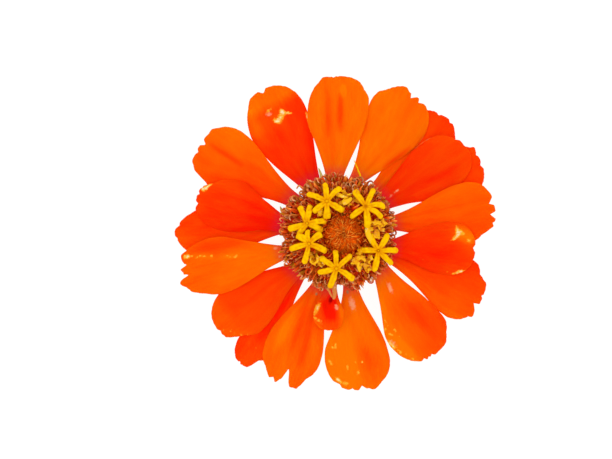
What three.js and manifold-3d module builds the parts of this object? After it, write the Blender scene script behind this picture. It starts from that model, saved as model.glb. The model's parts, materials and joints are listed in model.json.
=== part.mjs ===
// A single zinnia flower head, picked just under the head and lying face up.
//
// Millimetres, +Z up. The origin is on the head's axis, in the flat face where the head was cut from
// its stem, which is the face it rests on. Bearings are degrees anticlockwise from +X, seen from above.
//
// From the bottom up: a cup-shaped receptacle with two rows of green bracts outside it, the ray florets
// that stand out from its rim on several levels, the domed disc on top, and on that the open star
// florets, the withered ones and the whorl of unopened ones.

import * as THREE from "three";
import { mergeVertices } from "three/addons/utils/BufferGeometryUtils.js";
import Module from "manifold-3d";

const wasm = await Module();
wasm.setup();

// ---------------------------------------------------------------- driving dimensions

const CLEARANCE = 0.3; // between neighbours that touch on the flower

const CUP = { footRadius: 3.4, rimRadius: 8.7, height: 11.4 };

const RAY = {
  rootRadius: CUP.rimRadius + CLEARANCE,
  rootHeight: 7.9, // of the lowest level
  levelStep: 0.85,
  thickness: 0.4,
  fullReach: 31.5, // of the usual ray, which the climb and fall go by
  rise: 2.2, // a straight climb from root to tip ...
  droop: 2.9, // ... less this fall, which grows towards the tip
  droopPower: 2.2,
  arch: 0.3, // how far the long edges lie under the midrib at full width
  tipPower: 2.3, // 2 is an elliptic tip, more is squarer
  clawSlope: 0.25, // how fast the flank widens as it leaves the claw ...
  shoulderSlope: 0.1, // ... and as it meets the shoulder, where 1 is a straight flank
  shiftEnd: 0.67, // the share of the full reach where a claw's sideways shift has died out
  stations: 7,
};

const DISC = {
  radius: 10.7,
  underside: CUP.height + CLEARANCE,
  crown: 16.3,
  pitRadius: 4.6,
  pitFloor: 15.6,
  lean: new THREE.Vector2(1.3, -0.6), // the crown lies this far off the head's axis
  scallops: 20, // round its rim
  scallopDepth: 0.028, // as a share of the radius
};

const WHORL = { radius: 4.05, height: 1.75, pleats: 13, pleatDepth: 0.12, twist: 0.16 };

const FLORET = {
  throat: 0.62,
  tubeEnd: 0.42,
  thickness: 0.32,
  lobeRoot: 0.25,
  lobeHalfWidth: 0.68,
  lobeRise: 0.55,
  lobeFall: 0.9,
};

const CRUMPLE = { depth: 0.22, flatness: 0.55 }; // of a withered floret

const COLOUR = {
  orange: 0xff6a00,
  red: 0xff3a00,
  yellow: 0xffcf00,
  withered: 0xe0a030,
  chaff: 0x7a2c10,
  bud: 0xd0560a,
  bract: 0x5f8a35,
  cup: 0x7fa24a,
};

// Each ray floret: the bearing of its tip, the level it leaves the cup at (0 is the lowest), how far its
// tip reaches from the axis, its half width, how far its left and right shoulders lie behind the tip, the
// half width of its claw, and how far the claw is set to the left. Some have a waist over 1, which keeps
// the claw narrow for longer, a tip power of their own, edges that curl up, or notches in the tip.
const RAYS = [
  { bearing: 89.1, level: 2, reach: 31.3, half: 6.0, shoulders: [7.3, 5.3], claw: 1.4, shift: 0.8 },
  { bearing: 62.0, level: 1, reach: 31.6, half: 6.4, shoulders: [5.2, 6.4], claw: 1.1, shift: 1.2 },
  {
    bearing: 46.0, level: 0, reach: 31.5, half: 5.2, shoulders: [4.5, 4.8], claw: 1.2, shift: -0.4,
    waist: 1.2,
  },
  { bearing: 33.3, level: 2, reach: 31.1, half: 5.6, shoulders: [6.8, 7.0], claw: 1.5, shift: 0 },
  {
    bearing: 27.5, level: 1, reach: 32.2, half: 6.0, shoulders: [5.0, 5.0], claw: 1.1, shift: 0.6,
    waist: 1.4,
  },
  {
    bearing: 8.2, level: 3, reach: 32.0, half: 6.2, shoulders: [5.2, 6.5], claw: 1.2, shift: 0.2,
    waist: 1.1,
  },
  { bearing: -8.0, level: 4, reach: 27.9, half: 5.3, shoulders: [5.5, 5.2], claw: 1.2, shift: -1.2 },
  {
    bearing: -24.6, level: 3, reach: 32.0, half: 6.3, shoulders: [6.0, 5.0], claw: 1.2, shift: -0.3,
    waist: 1.5,
  },
  { bearing: -50.8, level: 4, reach: 31.4, half: 5.8, shoulders: [5.4, 7.0], claw: 1.4, shift: 1.9 },
  {
    bearing: -81.0, level: 2, reach: 32.0, half: 6.35, shoulders: [5.6, 6.8], claw: 1.1, shift: 0.8,
    waist: 1.1,
  },
  {
    bearing: -96.0, level: 3, reach: 19.8, half: 3.2, shoulders: [3.0, 3.2], claw: 0.7, shift: 0.2,
    curl: 1.3,
  },
  {
    bearing: -110.2, level: 2, reach: 32.6, half: 5.9, shoulders: [6.6, 7.6], claw: 1.3, shift: 0.6,
    notches: [{ at: 0.1, depth: 3.2, spread: 0.2 }],
  },
  { bearing: -126.0, level: 1, reach: 32.8, half: 3.9, shoulders: [5.8, 5.8], claw: 1.1, shift: -1.9 },
  { bearing: -140.6, level: 2, reach: 30.9, half: 5.7, shoulders: [6.5, 7.5], claw: 1.2, shift: 0 },
  {
    bearing: -164.3, level: 3, reach: 32.4, half: 5.75, shoulders: [6.8, 7.5], claw: 1.2, shift: 0.8,
    notches: [
      { at: 0.04, depth: 1.4, spread: 0.1 },
      { at: -0.32, depth: 1.4, spread: 0.12 },
    ],
  },
  {
    bearing: 180.3, level: 1, reach: 32.6, half: 5.6, shoulders: [7.0, 8.0], claw: 1.1, shift: -0.8,
    tipPower: 1.6,
  },
  { bearing: 166.2, level: 2, reach: 29.0, half: 5.2, shoulders: [6.0, 7.5], claw: 1.4, shift: 0.5 },
  {
    bearing: 147.0, level: 1, reach: 32.6, half: 6.5, shoulders: [5.8, 5.8], claw: 1.4, shift: -0.6,
    waist: 1.1,
    notches: [{ at: -0.05, depth: 0.9, spread: 0.12 }],
  },
  {
    bearing: 116.9, level: 0, reach: 32.3, half: 5.8, shoulders: [6.5, 6.5], claw: 1.7, shift: 0.2,
    notches: [{ at: 0.02, depth: 0.7, spread: 0.15 }],
  },
];
const RED_RAYS = [3, 4, 5, 6, 7, 8, 11, 13, 14, 16, 17, 19]; // by number: the others are orange
const VEINS = [-1, -0.93, -0.72, -0.38, 0, 0.38, 0.72, 0.93, 1]; // across a ray, right edge to left

// The open star florets: where each stands, how far its throat is lifted over the disc, and the bearing
// and length of each of its lobes.
const STARS = [
  {
    x: -2.1, y: 6.1, lift: 1.7,
    lobes: [[97, 3.6], [40, 3.9], [-30, 3.9], [-88, 3.5], [-139, 3.5], [163, 4.2]],
  },
  {
    x: -6.0, y: 1.7, lift: 1.0,
    lobes: [[112, 3.7], [82, 3.8], [8, 3.9], [-27, 3.4], [-127, 2.8], [196, 3.9]],
  },
  {
    x: -5.6, y: -2.3, lift: 1.9,
    lobes: [[194, 4.0], [255, 4.1], [-24, 3.8], [31, 3.1], [90, 2.6], [149, 2.9]],
  },
  {
    x: -0.2, y: -7.2, lift: 1.35,
    lobes: [[95, 3.7], [43, 4.1], [-34, 4.2], [247, 4.1], [194, 3.8], [148, 4.0]],
  },
  {
    x: 8.1, y: -3.7, lift: 1.2,
    lobes: [[61, 3.9], [0, 3.9], [-46, 3.9], [259, 4.2], [180, 4.1], [118, 3.9]],
  },
  {
    x: 5.6, y: 5.1, lift: 1.5,
    lobes: [[128, 3.9], [63, 3.8], [-12, 3.8], [-39, 4.0], [-86, 4.4], [218, 3.8]],
  },
];

// The withered florets: where each lies on the disc, and its size.
const WITHERED = [
  { x: 2.5, y: 6.4, size: 1.0 },
  { x: 5.1, y: -5.9, size: 1.15 },
  { x: 7.9, y: 0.7, size: 1.0 },
  { x: -4.4, y: -5.4, size: 0.75 },
];

const BRACT_ROWS = [
  { count: 9, turn: 0, from: 0.2, to: 0.985, gap: 0.3, flare: 0.5, half: 2.75 },
  { count: 9, turn: 20, from: 0.06, to: 0.74, gap: 1.25, flare: 0.5, half: 2.5 },
];
const BRACT_THICKNESS = 0.5;

// ---------------------------------------------------------------- shared geometry

const radians = THREE.MathUtils.degToRad;

/** A closed mesh from shared vertices and the triangles that join them. */
function closedMesh(vertices, triangles) {
  const geometry = new THREE.BufferGeometry().setFromPoints(vertices);
  geometry.setIndex(triangles);
  return geometry;
}

/**
 * A thin closed sheet, from a grid of points in its middle surface, thickened along its normals.
 * Its rows run outwards and its columns from right to left, so its top faces up.
 */
function sheet(grid, thickness) {
  const rows = grid.length;
  const columns = grid[0].length;
  const at = (i, j) =>
    grid[THREE.MathUtils.clamp(i, 0, rows - 1)][THREE.MathUtils.clamp(j, 0, columns - 1)];
  const offset = (i, j, side) => {
    const along = new THREE.Vector3().subVectors(at(i + 1, j), at(i - 1, j));
    const across = new THREE.Vector3().subVectors(at(i, j + 1), at(i, j - 1));
    const normal = along.cross(across).normalize();
    return at(i, j).clone().addScaledVector(normal, (side * thickness) / 2);
  };

  const vertices = [];
  for (const side of [1, -1])
    for (let i = 0; i < rows; i++) for (let j = 0; j < columns; j++) vertices.push(offset(i, j, side));
  const top = (i, j) => i * columns + j;
  const under = (i, j) => rows * columns + top(i, j);

  const triangles = [];
  for (let i = 0; i + 1 < rows; i++)
    for (let j = 0; j + 1 < columns; j++) {
      triangles.push(top(i, j), top(i + 1, j), top(i + 1, j + 1));
      triangles.push(top(i, j), top(i + 1, j + 1), top(i, j + 1));
      triangles.push(under(i, j), under(i + 1, j + 1), under(i + 1, j));
      triangles.push(under(i, j), under(i, j + 1), under(i + 1, j + 1));
    }

  const rim = []; // once round, anticlockwise seen from above
  for (let i = 0; i < rows - 1; i++) rim.push([i, 0]);
  for (let j = 0; j < columns - 1; j++) rim.push([rows - 1, j]);
  for (let i = rows - 1; i > 0; i--) rim.push([i, columns - 1]);
  for (let j = columns - 1; j > 0; j--) rim.push([0, j]);
  rim.forEach((p, n) => {
    const q = rim[(n + 1) % rim.length];
    triangles.push(top(...p), under(...p), under(...q));
    triangles.push(top(...p), under(...q), top(...q));
  });
  return closedMesh(vertices, triangles);
}

/** The geometry as a manifold-3d solid. */
function toSolid(geometry) {
  geometry.deleteAttribute("normal");
  geometry.deleteAttribute("uv");
  const merged = mergeVertices(geometry);
  return new wasm.Manifold(
    new wasm.Mesh({
      numProp: 3,
      vertProperties: merged.getAttribute("position").array,
      triVerts: new Uint32Array(merged.index.array),
    }),
  );
}

/** One geometry that joins several overlapping ones. */
function join(geometries) {
  const mesh = geometries
    .map(toSolid)
    .reduce((whole, solid) => whole.add(solid))
    .getMesh();
  const position = new THREE.BufferAttribute(mesh.vertProperties, 3);
  return new THREE.BufferGeometry()
    .setAttribute("position", position)
    .setIndex(new THREE.BufferAttribute(mesh.triVerts, 1));
}

/** A closed surface of revolution whose points may be moved by a function of height and angle. */
function turned(profile, segments, move = () => {}) {
  const geometry = new THREE.LatheGeometry(profile, segments);
  geometry.rotateX(Math.PI / 2); // the lathe turns about Y: stand it up
  const position = geometry.getAttribute("position");
  const point = new THREE.Vector3();
  for (let i = 0; i < position.count; i++) {
    point.fromBufferAttribute(position, i);
    move(point);
    position.setXYZ(i, point.x, point.y, point.z);
  }
  return geometry;
}

/** A profile for turned(): [radius, height] pairs from the bottom of the axis to the top. */
const profileOf = (pairs) => pairs.map(([radius, height]) => new THREE.Vector2(radius, height));

// ---------------------------------------------------------------- receptacle and bracts

// The outside of the cup, from the foot to where the rays begin.
const CUP_WALL = new THREE.SplineCurve(
  profileOf([
    [CUP.footRadius, 0],
    [3.5, 1.3],
    [5.2, 2.6],
    [7.2, 4.3],
    [8.3, 6.0],
    [CUP.rimRadius, 7.5],
  ]),
);

/** The green cup that carries everything: flat underneath where it was cut from the stem. */
function receptacle() {
  const wall = CUP_WALL.getSpacedPoints(6);
  const profile = [
    new THREE.Vector2(0, 0),
    ...wall,
    ...profileOf([
      [CUP.rimRadius, CUP.height],
      [0, CUP.height],
    ]),
  ];
  return turned(profile, 24);
}

/** One bract: a blunt scale that follows the cup's wall, a small gap outside it. */
function bract(row, index) {
  const middle = radians(row.turn + (360 / row.count) * index);
  const grid = [];
  for (let i = 0; i <= 4; i++) {
    const along = i / 4;
    const share = THREE.MathUtils.lerp(row.from, row.to, along);
    const wall = CUP_WALL.getPointAt(share);
    const tangent = CUP_WALL.getTangentAt(share);
    const out = row.gap + BRACT_THICKNESS / 2 + row.flare * along ** 3;
    const radius = wall.x + tangent.y * out;
    const height = wall.y - tangent.x * out;
    const half = row.half * Math.sqrt(1 - (0.75 * (2 * along - 1.15)) ** 2); // blunt at both ends
    const line = [];
    for (let j = -1.5; j <= 1.5; j++) {
      const angle = middle - ((j / 1.5) * Math.min(half, radius * 0.31)) / radius;
      line.push(new THREE.Vector3(radius * Math.cos(angle), radius * Math.sin(angle), height));
    }
    grid.push(line);
  }
  return sheet(grid, BRACT_THICKNESS);
}

// ---------------------------------------------------------------- ray florets

/** How far a ray reaches along one vein: a rounded tip, less any notch there. */
function veinReach(ray, vein) {
  const shoulder = ray.shoulders[vein > 0 ? 0 : 1];
  const power = ray.tipPower ?? RAY.tipPower;
  const round = (1 - Math.abs(vein) ** power) ** (1 / power);
  const notched = (ray.notches ?? []).reduce((sum, notch) => {
    const off = Math.abs(vein - notch.at) / notch.spread;
    return sum + notch.depth * Math.max(0, 1 - off);
  }, 0);
  return ray.reach - shoulder * (1 - round) - notched;
}

/** Half the width of a ray at a radius, on the side of a vein: a claw that widens to the shoulder. */
function halfWidth(ray, vein, radius) {
  const shoulder = ray.reach - ray.shoulders[vein > 0 ? 0 : 1];
  const out = THREE.MathUtils.clamp((radius - RAY.rootRadius) / (shoulder - RAY.rootRadius), 0, 1);
  const k = out ** (ray.waist ?? 1);
  const share =
    (k ** 3 - 2 * k ** 2 + k) * RAY.clawSlope +
    (3 * k ** 2 - 2 * k ** 3) +
    (k ** 3 - k ** 2) * RAY.shoulderSlope;
  return ray.claw + (ray.half - ray.claw) * share;
}

/** A point of a ray's middle surface, in the ray's own frame: x outwards, y to its left. */
function rayPoint(ray, share, vein) {
  const x = THREE.MathUtils.lerp(RAY.rootRadius, veinReach(ray, vein), share);
  const along = (x - RAY.rootRadius) / (RAY.fullReach - RAY.rootRadius);
  const width = halfWidth(ray, vein, x);
  const y = ray.shift * Math.max(0, 1 - along / RAY.shiftEnd) + vein * width;
  const edge = vein ** 2 * (width / ray.half) ** 2;
  const z =
    RAY.rootHeight +
    RAY.levelStep * ray.level +
    RAY.rise * along -
    RAY.droop * along ** RAY.droopPower +
    (ray.curl ?? -RAY.arch) * edge;
  return new THREE.Vector3(x, y, z);
}

/** One ray floret, turned to its bearing. */
function rayFloret(ray) {
  const corners = (ray.notches ?? []).flatMap(({ at, spread }) => [at - spread, at, at + spread]);
  const near = (vein) => corners.some((corner) => Math.abs(corner - vein) < 0.09);
  const veins = [...VEINS.filter((vein) => !near(vein)), ...corners].sort((a, b) => a - b);
  const grid = [];
  for (let i = 0; i <= RAY.stations; i++)
    grid.push(veins.map((vein) => rayPoint(ray, i / RAY.stations, vein)));
  return sheet(grid, RAY.thickness).rotateZ(radians(ray.bearing));
}

// ---------------------------------------------------------------- disc

// The top of the disc, before it leans: radius and height from the pit's edge out to the rim.
const DISC_TOP = profileOf([
  [DISC.pitRadius, 16.2],
  [5.6, DISC.crown],
  [7.2, 16.0],
  [8.9, 15.3],
  [10.2, 14.3],
  [DISC.radius, 13.0],
]);

/** How far the disc leans at a height. */
function leanAt(height) {
  const share = (height - DISC.underside) / (DISC.crown - DISC.underside);
  return DISC.lean.clone().multiplyScalar(THREE.MathUtils.clamp(share, 0, 1));
}

/** How much the disc's radius grows or shrinks at an angle, between one scallop and the next. */
const scallopAt = (angle) => 1 + DISC.scallopDepth * Math.cos(DISC.scallops * angle);

/** The domed disc of chaff, scalloped round its rim, with a shallow pit for the unopened florets. */
function chaffDisc() {
  const profile = [
    ...profileOf([
      [0, DISC.underside],
      [8.3, DISC.underside],
      [8.9, 12.1],
      [10.4, 12.3],
    ]),
    ...DISC_TOP.toReversed(),
    ...profileOf([
      [DISC.pitRadius - 0.2, DISC.pitFloor],
      [0, DISC.pitFloor],
    ]),
  ];
  const scallopsFrom = 12.2; // their height
  return turned(profile, 2 * DISC.scallops, (point) => {
    if (Math.hypot(point.x, point.y) > DISC.pitRadius + CLEARANCE && point.z > scallopsFrom) {
      const out = scallopAt(Math.atan2(point.y, point.x));
      point.x *= out;
      point.y *= out;
    }
    const lean = leanAt(point.z);
    point.x += lean.x;
    point.y += lean.y;
  });
}

/** The height of the disc's top at a place in plan. */
function discHeight({ x, y }) {
  let height = DISC.crown;
  for (let pass = 0; pass < 5; pass++) {
    const upright = new THREE.Vector2(x, y).sub(leanAt(height));
    const radius = upright.length() / scallopAt(upright.angle());
    const outer = DISC_TOP.findIndex((point) => point.x > radius);
    const [p, q] = [DISC_TOP[outer - 1], DISC_TOP[outer]];
    height = THREE.MathUtils.mapLinear(radius, p.x, q.x, p.y, q.y);
  }
  return height;
}

/** The whorl of unopened florets at the crown: a low twisted cone of pleats. */
function budWhorl() {
  const base = DISC.pitFloor + CLEARANCE;
  const rings = [
    [0, base],
    [WHORL.radius - 0.15, base],
    [WHORL.radius, base + 0.5],
    [3.3, base + 1.1],
    [2.3, base + 1.5],
    [1.2, base + 1.7],
    [0, base + WHORL.height],
  ];
  return turned(profileOf(rings), 2 * WHORL.pleats, (point) => {
    const radius = Math.hypot(point.x, point.y);
    if (point.z > base && radius > 0) {
      const twist = Math.atan2(point.y, point.x) + WHORL.twist * (radius - WHORL.radius);
      point.z += WHORL.pleatDepth * Math.cos(WHORL.pleats * twist);
    }
    point.x += DISC.lean.x;
    point.y += DISC.lean.y;
  });
}

// ---------------------------------------------------------------- disc florets

/** One lobe of a star floret: a blunt blade that rises from the throat and falls to its tip. */
function lobe([bearing, length]) {
  const widths = [0.55, 1, 0.95, 0.45];
  const grid = widths.map((share, i) => {
    const along = i / (widths.length - 1);
    const x = THREE.MathUtils.lerp(FLORET.lobeRoot, length, along);
    const half = FLORET.lobeHalfWidth * share;
    const z = FLORET.lobeRise * Math.sin(Math.PI * along * 0.7) - FLORET.lobeFall * along ** 3;
    return [-1, 1].map((side) => new THREE.Vector3(x, side * half, z));
  });
  return sheet(grid, FLORET.thickness).rotateZ(radians(bearing));
}

/** An open star floret: lobes round the mouth of a tube that goes down to the disc. */
function starFloret(star) {
  const depth = star.lift - 2 * CLEARANCE;
  const tube = turned(
    profileOf([
      [0, -depth],
      [FLORET.tubeEnd, -depth],
      [FLORET.throat, 0.1],
      [0, 0.5],
    ]),
    8,
  );
  return join([tube, ...star.lobes.map(lobe)]);
}

/** A withered floret: a small crumpled lump, with its middle at the origin. */
function witheredFloret(floret, index) {
  const geometry = new THREE.IcosahedronGeometry(floret.size, 1);
  geometry.deleteAttribute("normal");
  geometry.deleteAttribute("uv");
  const merged = mergeVertices(geometry);
  const position = merged.getAttribute("position");
  for (let i = 0; i < position.count; i++) {
    const crease = 1 + CRUMPLE.depth * Math.sin(7 * i + 2 * index);
    const [x, y, z] = [position.getX(i), position.getY(i), position.getZ(i) * CRUMPLE.flatness];
    position.setXYZ(i, x * crease, y * crease, z);
  }
  return merged;
}

// ---------------------------------------------------------------- the flower

const flower = new THREE.Group();

/** Adds one named piece to the flower, raised over the disc at its place where it has one. */
function add(name, geometry, colour, place, lift) {
  const material = new THREE.MeshStandardMaterial({ color: colour, roughness: 0.6, metalness: 0 });
  const mesh = new THREE.Mesh(geometry, material);
  mesh.name = name;
  if (place) mesh.position.set(place.x, place.y, discHeight(place) + lift);
  flower.add(mesh);
}

const numbered = (name, index) => `${name}_${String(index + 1).padStart(2, "0")}`;

add("receptacle", receptacle(), COLOUR.cup);
BRACT_ROWS.forEach((row, r) => {
  for (let i = 0; i < row.count; i++)
    add(numbered("bract", r * row.count + i), bract(row, i), COLOUR.bract);
});
RAYS.forEach((ray, i) => {
  const colour = RED_RAYS.includes(i + 1) ? COLOUR.red : COLOUR.orange;
  add(numbered("ray", i), rayFloret(ray), colour);
});
add("disc_chaff", chaffDisc(), COLOUR.chaff);
add("bud_whorl", budWhorl(), COLOUR.bud);
STARS.forEach((star, i) => {
  add(numbered("star_floret", i), starFloret(star), COLOUR.yellow, star, star.lift);
});
WITHERED.forEach((floret, i) => {
  const lift = CLEARANCE + floret.size * CRUMPLE.flatness;
  add(numbered("withered_floret", i), witheredFloret(floret, i), COLOUR.withered, floret, lift);
});

export default flower;
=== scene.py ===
"""A zinnia flower head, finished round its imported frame.

Sizes are in millimetres unless a name says otherwise, and become metres when a mesh is made. A ray floret,
or ray, is one petal. Its own frame has x outwards from the head's axis and y to its left, seen from above.
A mesh's numbers are values stored at its points, such as warmth or depth, which its finish reads.
"""

import json
import logging
import math
from collections.abc import Callable, Mapping, Sequence
from dataclasses import dataclass, field
from enum import Enum

import bmesh
import bpy
import numpy as np
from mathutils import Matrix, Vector, noise
from mathutils.bvhtree import BVHTree


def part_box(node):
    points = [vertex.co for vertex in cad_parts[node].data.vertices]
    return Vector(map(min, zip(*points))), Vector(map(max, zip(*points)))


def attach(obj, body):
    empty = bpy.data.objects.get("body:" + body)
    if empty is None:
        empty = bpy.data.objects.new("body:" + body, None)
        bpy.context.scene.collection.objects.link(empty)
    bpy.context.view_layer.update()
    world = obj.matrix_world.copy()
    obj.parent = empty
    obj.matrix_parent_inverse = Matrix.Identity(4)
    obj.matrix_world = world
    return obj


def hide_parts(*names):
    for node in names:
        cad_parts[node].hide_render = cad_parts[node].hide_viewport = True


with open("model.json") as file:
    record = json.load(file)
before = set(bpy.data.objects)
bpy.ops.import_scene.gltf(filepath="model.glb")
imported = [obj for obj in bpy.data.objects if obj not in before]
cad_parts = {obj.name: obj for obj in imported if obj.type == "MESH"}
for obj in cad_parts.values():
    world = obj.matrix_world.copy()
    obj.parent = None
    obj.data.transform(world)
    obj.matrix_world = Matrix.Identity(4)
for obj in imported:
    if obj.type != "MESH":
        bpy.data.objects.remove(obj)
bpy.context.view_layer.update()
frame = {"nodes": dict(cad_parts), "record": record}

MM = 0.001
TURN = 2.0 * math.pi
GOLDEN_ANGLE = math.pi * (3.0 - math.sqrt(5.0))
UP = Vector((0.0, 0.0, 1.0))
LEVEL = (1.0, 1.0, 0.0)  # times a vector, leaves its level part
WHITE = (1.0, 1.0, 1.0, 1.0)

Colour = tuple[float, float, float]
Place = tuple[float, float, float]
Spot = tuple[float, float]
Socket = bpy.types.NodeSocket
Amount = Socket | float
Paint = Socket | Colour

log = logging.getLogger("zinnia")


# ---------------------------------------------------------------- node trees


class Graph:
    """A shader or geometry node tree under construction."""

    def __init__(self, tree: bpy.types.NodeTree) -> None:
        """Starts on a tree, which may hold nodes already."""
        self.tree = tree

    def feed(self, socket: Socket, value: object) -> None:
        """Links a socket to another one, or sets it to a constant.

        Args:
            socket: The input.
            value: What feeds it.
        """
        if isinstance(value, Socket):
            self.tree.links.new(value, socket)
        else:
            socket.default_value = value

    def node(self, kind: str, inputs: dict | None = None, **settings: object) -> bpy.types.Node:
        """Adds one node.

        Args:
            kind: The node's type name.
            inputs: Input name or number to the socket that feeds it, or to its constant.
            **settings: Properties of the node itself.

        Returns:
            The new node.
        """
        made = self.tree.nodes.new(kind)
        for name, value in settings.items():
            setattr(made, name, value)
        for key, value in (inputs or {}).items():
            self.feed(made.inputs[key], value)
        return made

    def math(self, operation: str, *values: Amount, clamp: bool = False) -> Socket:
        """Adds a Math node and returns its result."""
        made = self.node("ShaderNodeMath", dict(enumerate(values)), operation=operation, use_clamp=clamp)
        return made.outputs[0]

    def vector(self, operation: str, *values: Socket | Place) -> Socket:
        """Adds a Vector Math node and returns its vector."""
        return self.node("ShaderNodeVectorMath", dict(enumerate(values)), operation=operation).outputs[0]

    def scaled(self, vector: Socket, by: Amount) -> Socket:
        """Returns a vector times a number."""
        made = self.node("ShaderNodeVectorMath", {0: vector, "Scale": by}, operation="SCALE")
        return made.outputs[0]


class Skin(Graph):
    """A material under construction, whose colour is built up in layers."""

    def __init__(self, name: str, roughness: float, specular: float) -> None:
        """Starts a material.

        Args:
            name: The material's name.
            roughness: Roughness of the whole surface.
            specular: Specular level of the whole surface.
        """
        self.material = bpy.data.materials.new(name)
        self.material.use_nodes = True
        super().__init__(self.material.node_tree)
        self.shader = self.tree.nodes["Principled BSDF"]
        self.place = self.node("ShaderNodeTexCoord").outputs["Object"]
        self.set({"Roughness": roughness, "Specular IOR Level": specular})

    def set(self, constants: dict) -> None:
        """Sets constants on the shader's own sockets."""
        for name, value in constants.items():
            self.shader.inputs[name].default_value = value

    def number(self, name: str) -> Socket:
        """Returns the mesh's own number of that name, at each point."""
        return self.node("ShaderNodeAttribute", attribute_name=name).outputs["Fac"]

    def stirred(self, name: str, *noises: tuple[Socket, float]) -> Socket:
        """Stirs up a number of the mesh.

        Args:
            name: The number's name.
            *noises: Each noise with its amount.

        Returns:
            The number plus every noise times its amount.
        """
        total = self.number(name)
        for pattern, amount in noises:
            total = self.math("MULTIPLY_ADD", pattern, amount, total)
        return total

    def noise(
        self, per_mm: float, detail: float, where: Socket | None = None, rough: float = 0.55
    ) -> Socket:
        """Adds a noise.

        Args:
            per_mm: How many features it has to a millimetre, or to a unit of where.
            detail: How many finer noises are laid over it.
            where: The coordinates that it follows, the mesh's own if not given.
            rough: How strong the finer noises are.

        Returns:
            The noise, from 0 to 1.
        """
        where, scale = (self.place, per_mm / MM) if where is None else (where, per_mm)
        inputs = {"Vector": where, "Scale": scale, "Detail": detail, "Roughness": rough}
        return self.node("ShaderNodeTexNoise", inputs).outputs["Fac"]

    def band(self, value: Socket, low: float, high: float) -> Socket:
        """Returns 0 below low, 1 above high and a smooth step between them."""
        inputs = {"Value": value, "From Min": low, "From Max": high}
        return self.node("ShaderNodeMapRange", inputs, interpolation_type="SMOOTHSTEP").outputs[0]

    def ramp(self, value: Socket, stops: Sequence[tuple[float, Colour]]) -> Socket:
        """Adds a colour ramp.

        Args:
            value: What it is read at.
            stops: Each colour and where it stands, rising.

        Returns:
            The colour.
        """
        made = self.node("ShaderNodeValToRGB", {"Fac": value})
        elements = made.color_ramp.elements
        while len(elements) < len(stops):
            elements.new(1.0)
        for element, (at, colour) in zip(elements, stops):
            element.position = at
            element.color = (*colour, 1.0)
        return made.outputs["Color"]

    def blend(self, under: Paint, over: Paint, share: Amount, how: str = "MIX") -> Socket:
        """Lays one colour over another.

        Args:
            under: The lower colour or its socket.
            over: The upper colour or its socket.
            share: How much of the upper one shows.
            how: The way they mix.

        Returns:
            The blended colour.
        """
        made = self.node("ShaderNodeMix", data_type="RGBA", blend_type=how)
        for number, value in ((0, share), (6, under), (7, over)):
            self.feed(made.inputs[number], (*value, 1.0) if isinstance(value, tuple) else value)
        return made.outputs[2]

    def laid(
        self, under: Socket, over: Colour, name: str, fray: Socket, amount: float, low: float, high: float
    ) -> Socket:
        """Lays a colour where one of the mesh's numbers is high, with a frayed edge.

        Args:
            under: The colour so far.
            over: The colour to lay.
            name: The number's name.
            fray: The noise that frays the edge.
            amount: How much of that noise is added.
            low: Where the colour starts to show.
            high: Where it covers fully.

        Returns:
            The colour with the new one on it.
        """
        return self.blend(under, over, self.band(self.stirred(name, (fray, amount)), low, high))

    def stretched(self, where: Socket, by: Place) -> Socket:
        """Returns coordinates times a factor along each axis."""
        return self.node("ShaderNodeMapping", {"Vector": where, "Scale": by}).outputs[0]

    def finish(
        self, colour: Socket, height: Socket | None = None, depth: float = 0.05, strength: float = 0.5
    ) -> bpy.types.Material:
        """Wires the colour and the bump into the shader.

        Args:
            colour: The colour's socket.
            height: The bump's height, from 0 to 1.
            depth: How many millimetres that height stands for.
            strength: The bump's strength.

        Returns:
            The finished material.
        """
        self.feed(self.shader.inputs["Base Color"], colour)
        if height is not None:
            inputs = {"Height": height, "Distance": depth * MM, "Strength": strength}
            self.feed(self.shader.inputs["Normal"], self.node("ShaderNodeBump", inputs).outputs["Normal"])
        return self.material


def linear(red: int, green: int, blue: int) -> Colour:
    """Returns a colour given as it shows, 0 to 255, in the linear numbers that shaders take."""
    shares = (value / 255.0 for value in (red, green, blue))
    return tuple(s / 12.92 if s <= 0.04045 else ((s + 0.055) / 1.055) ** 2.4 for s in shares)


# ---------------------------------------------------------------- finishes


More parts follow.
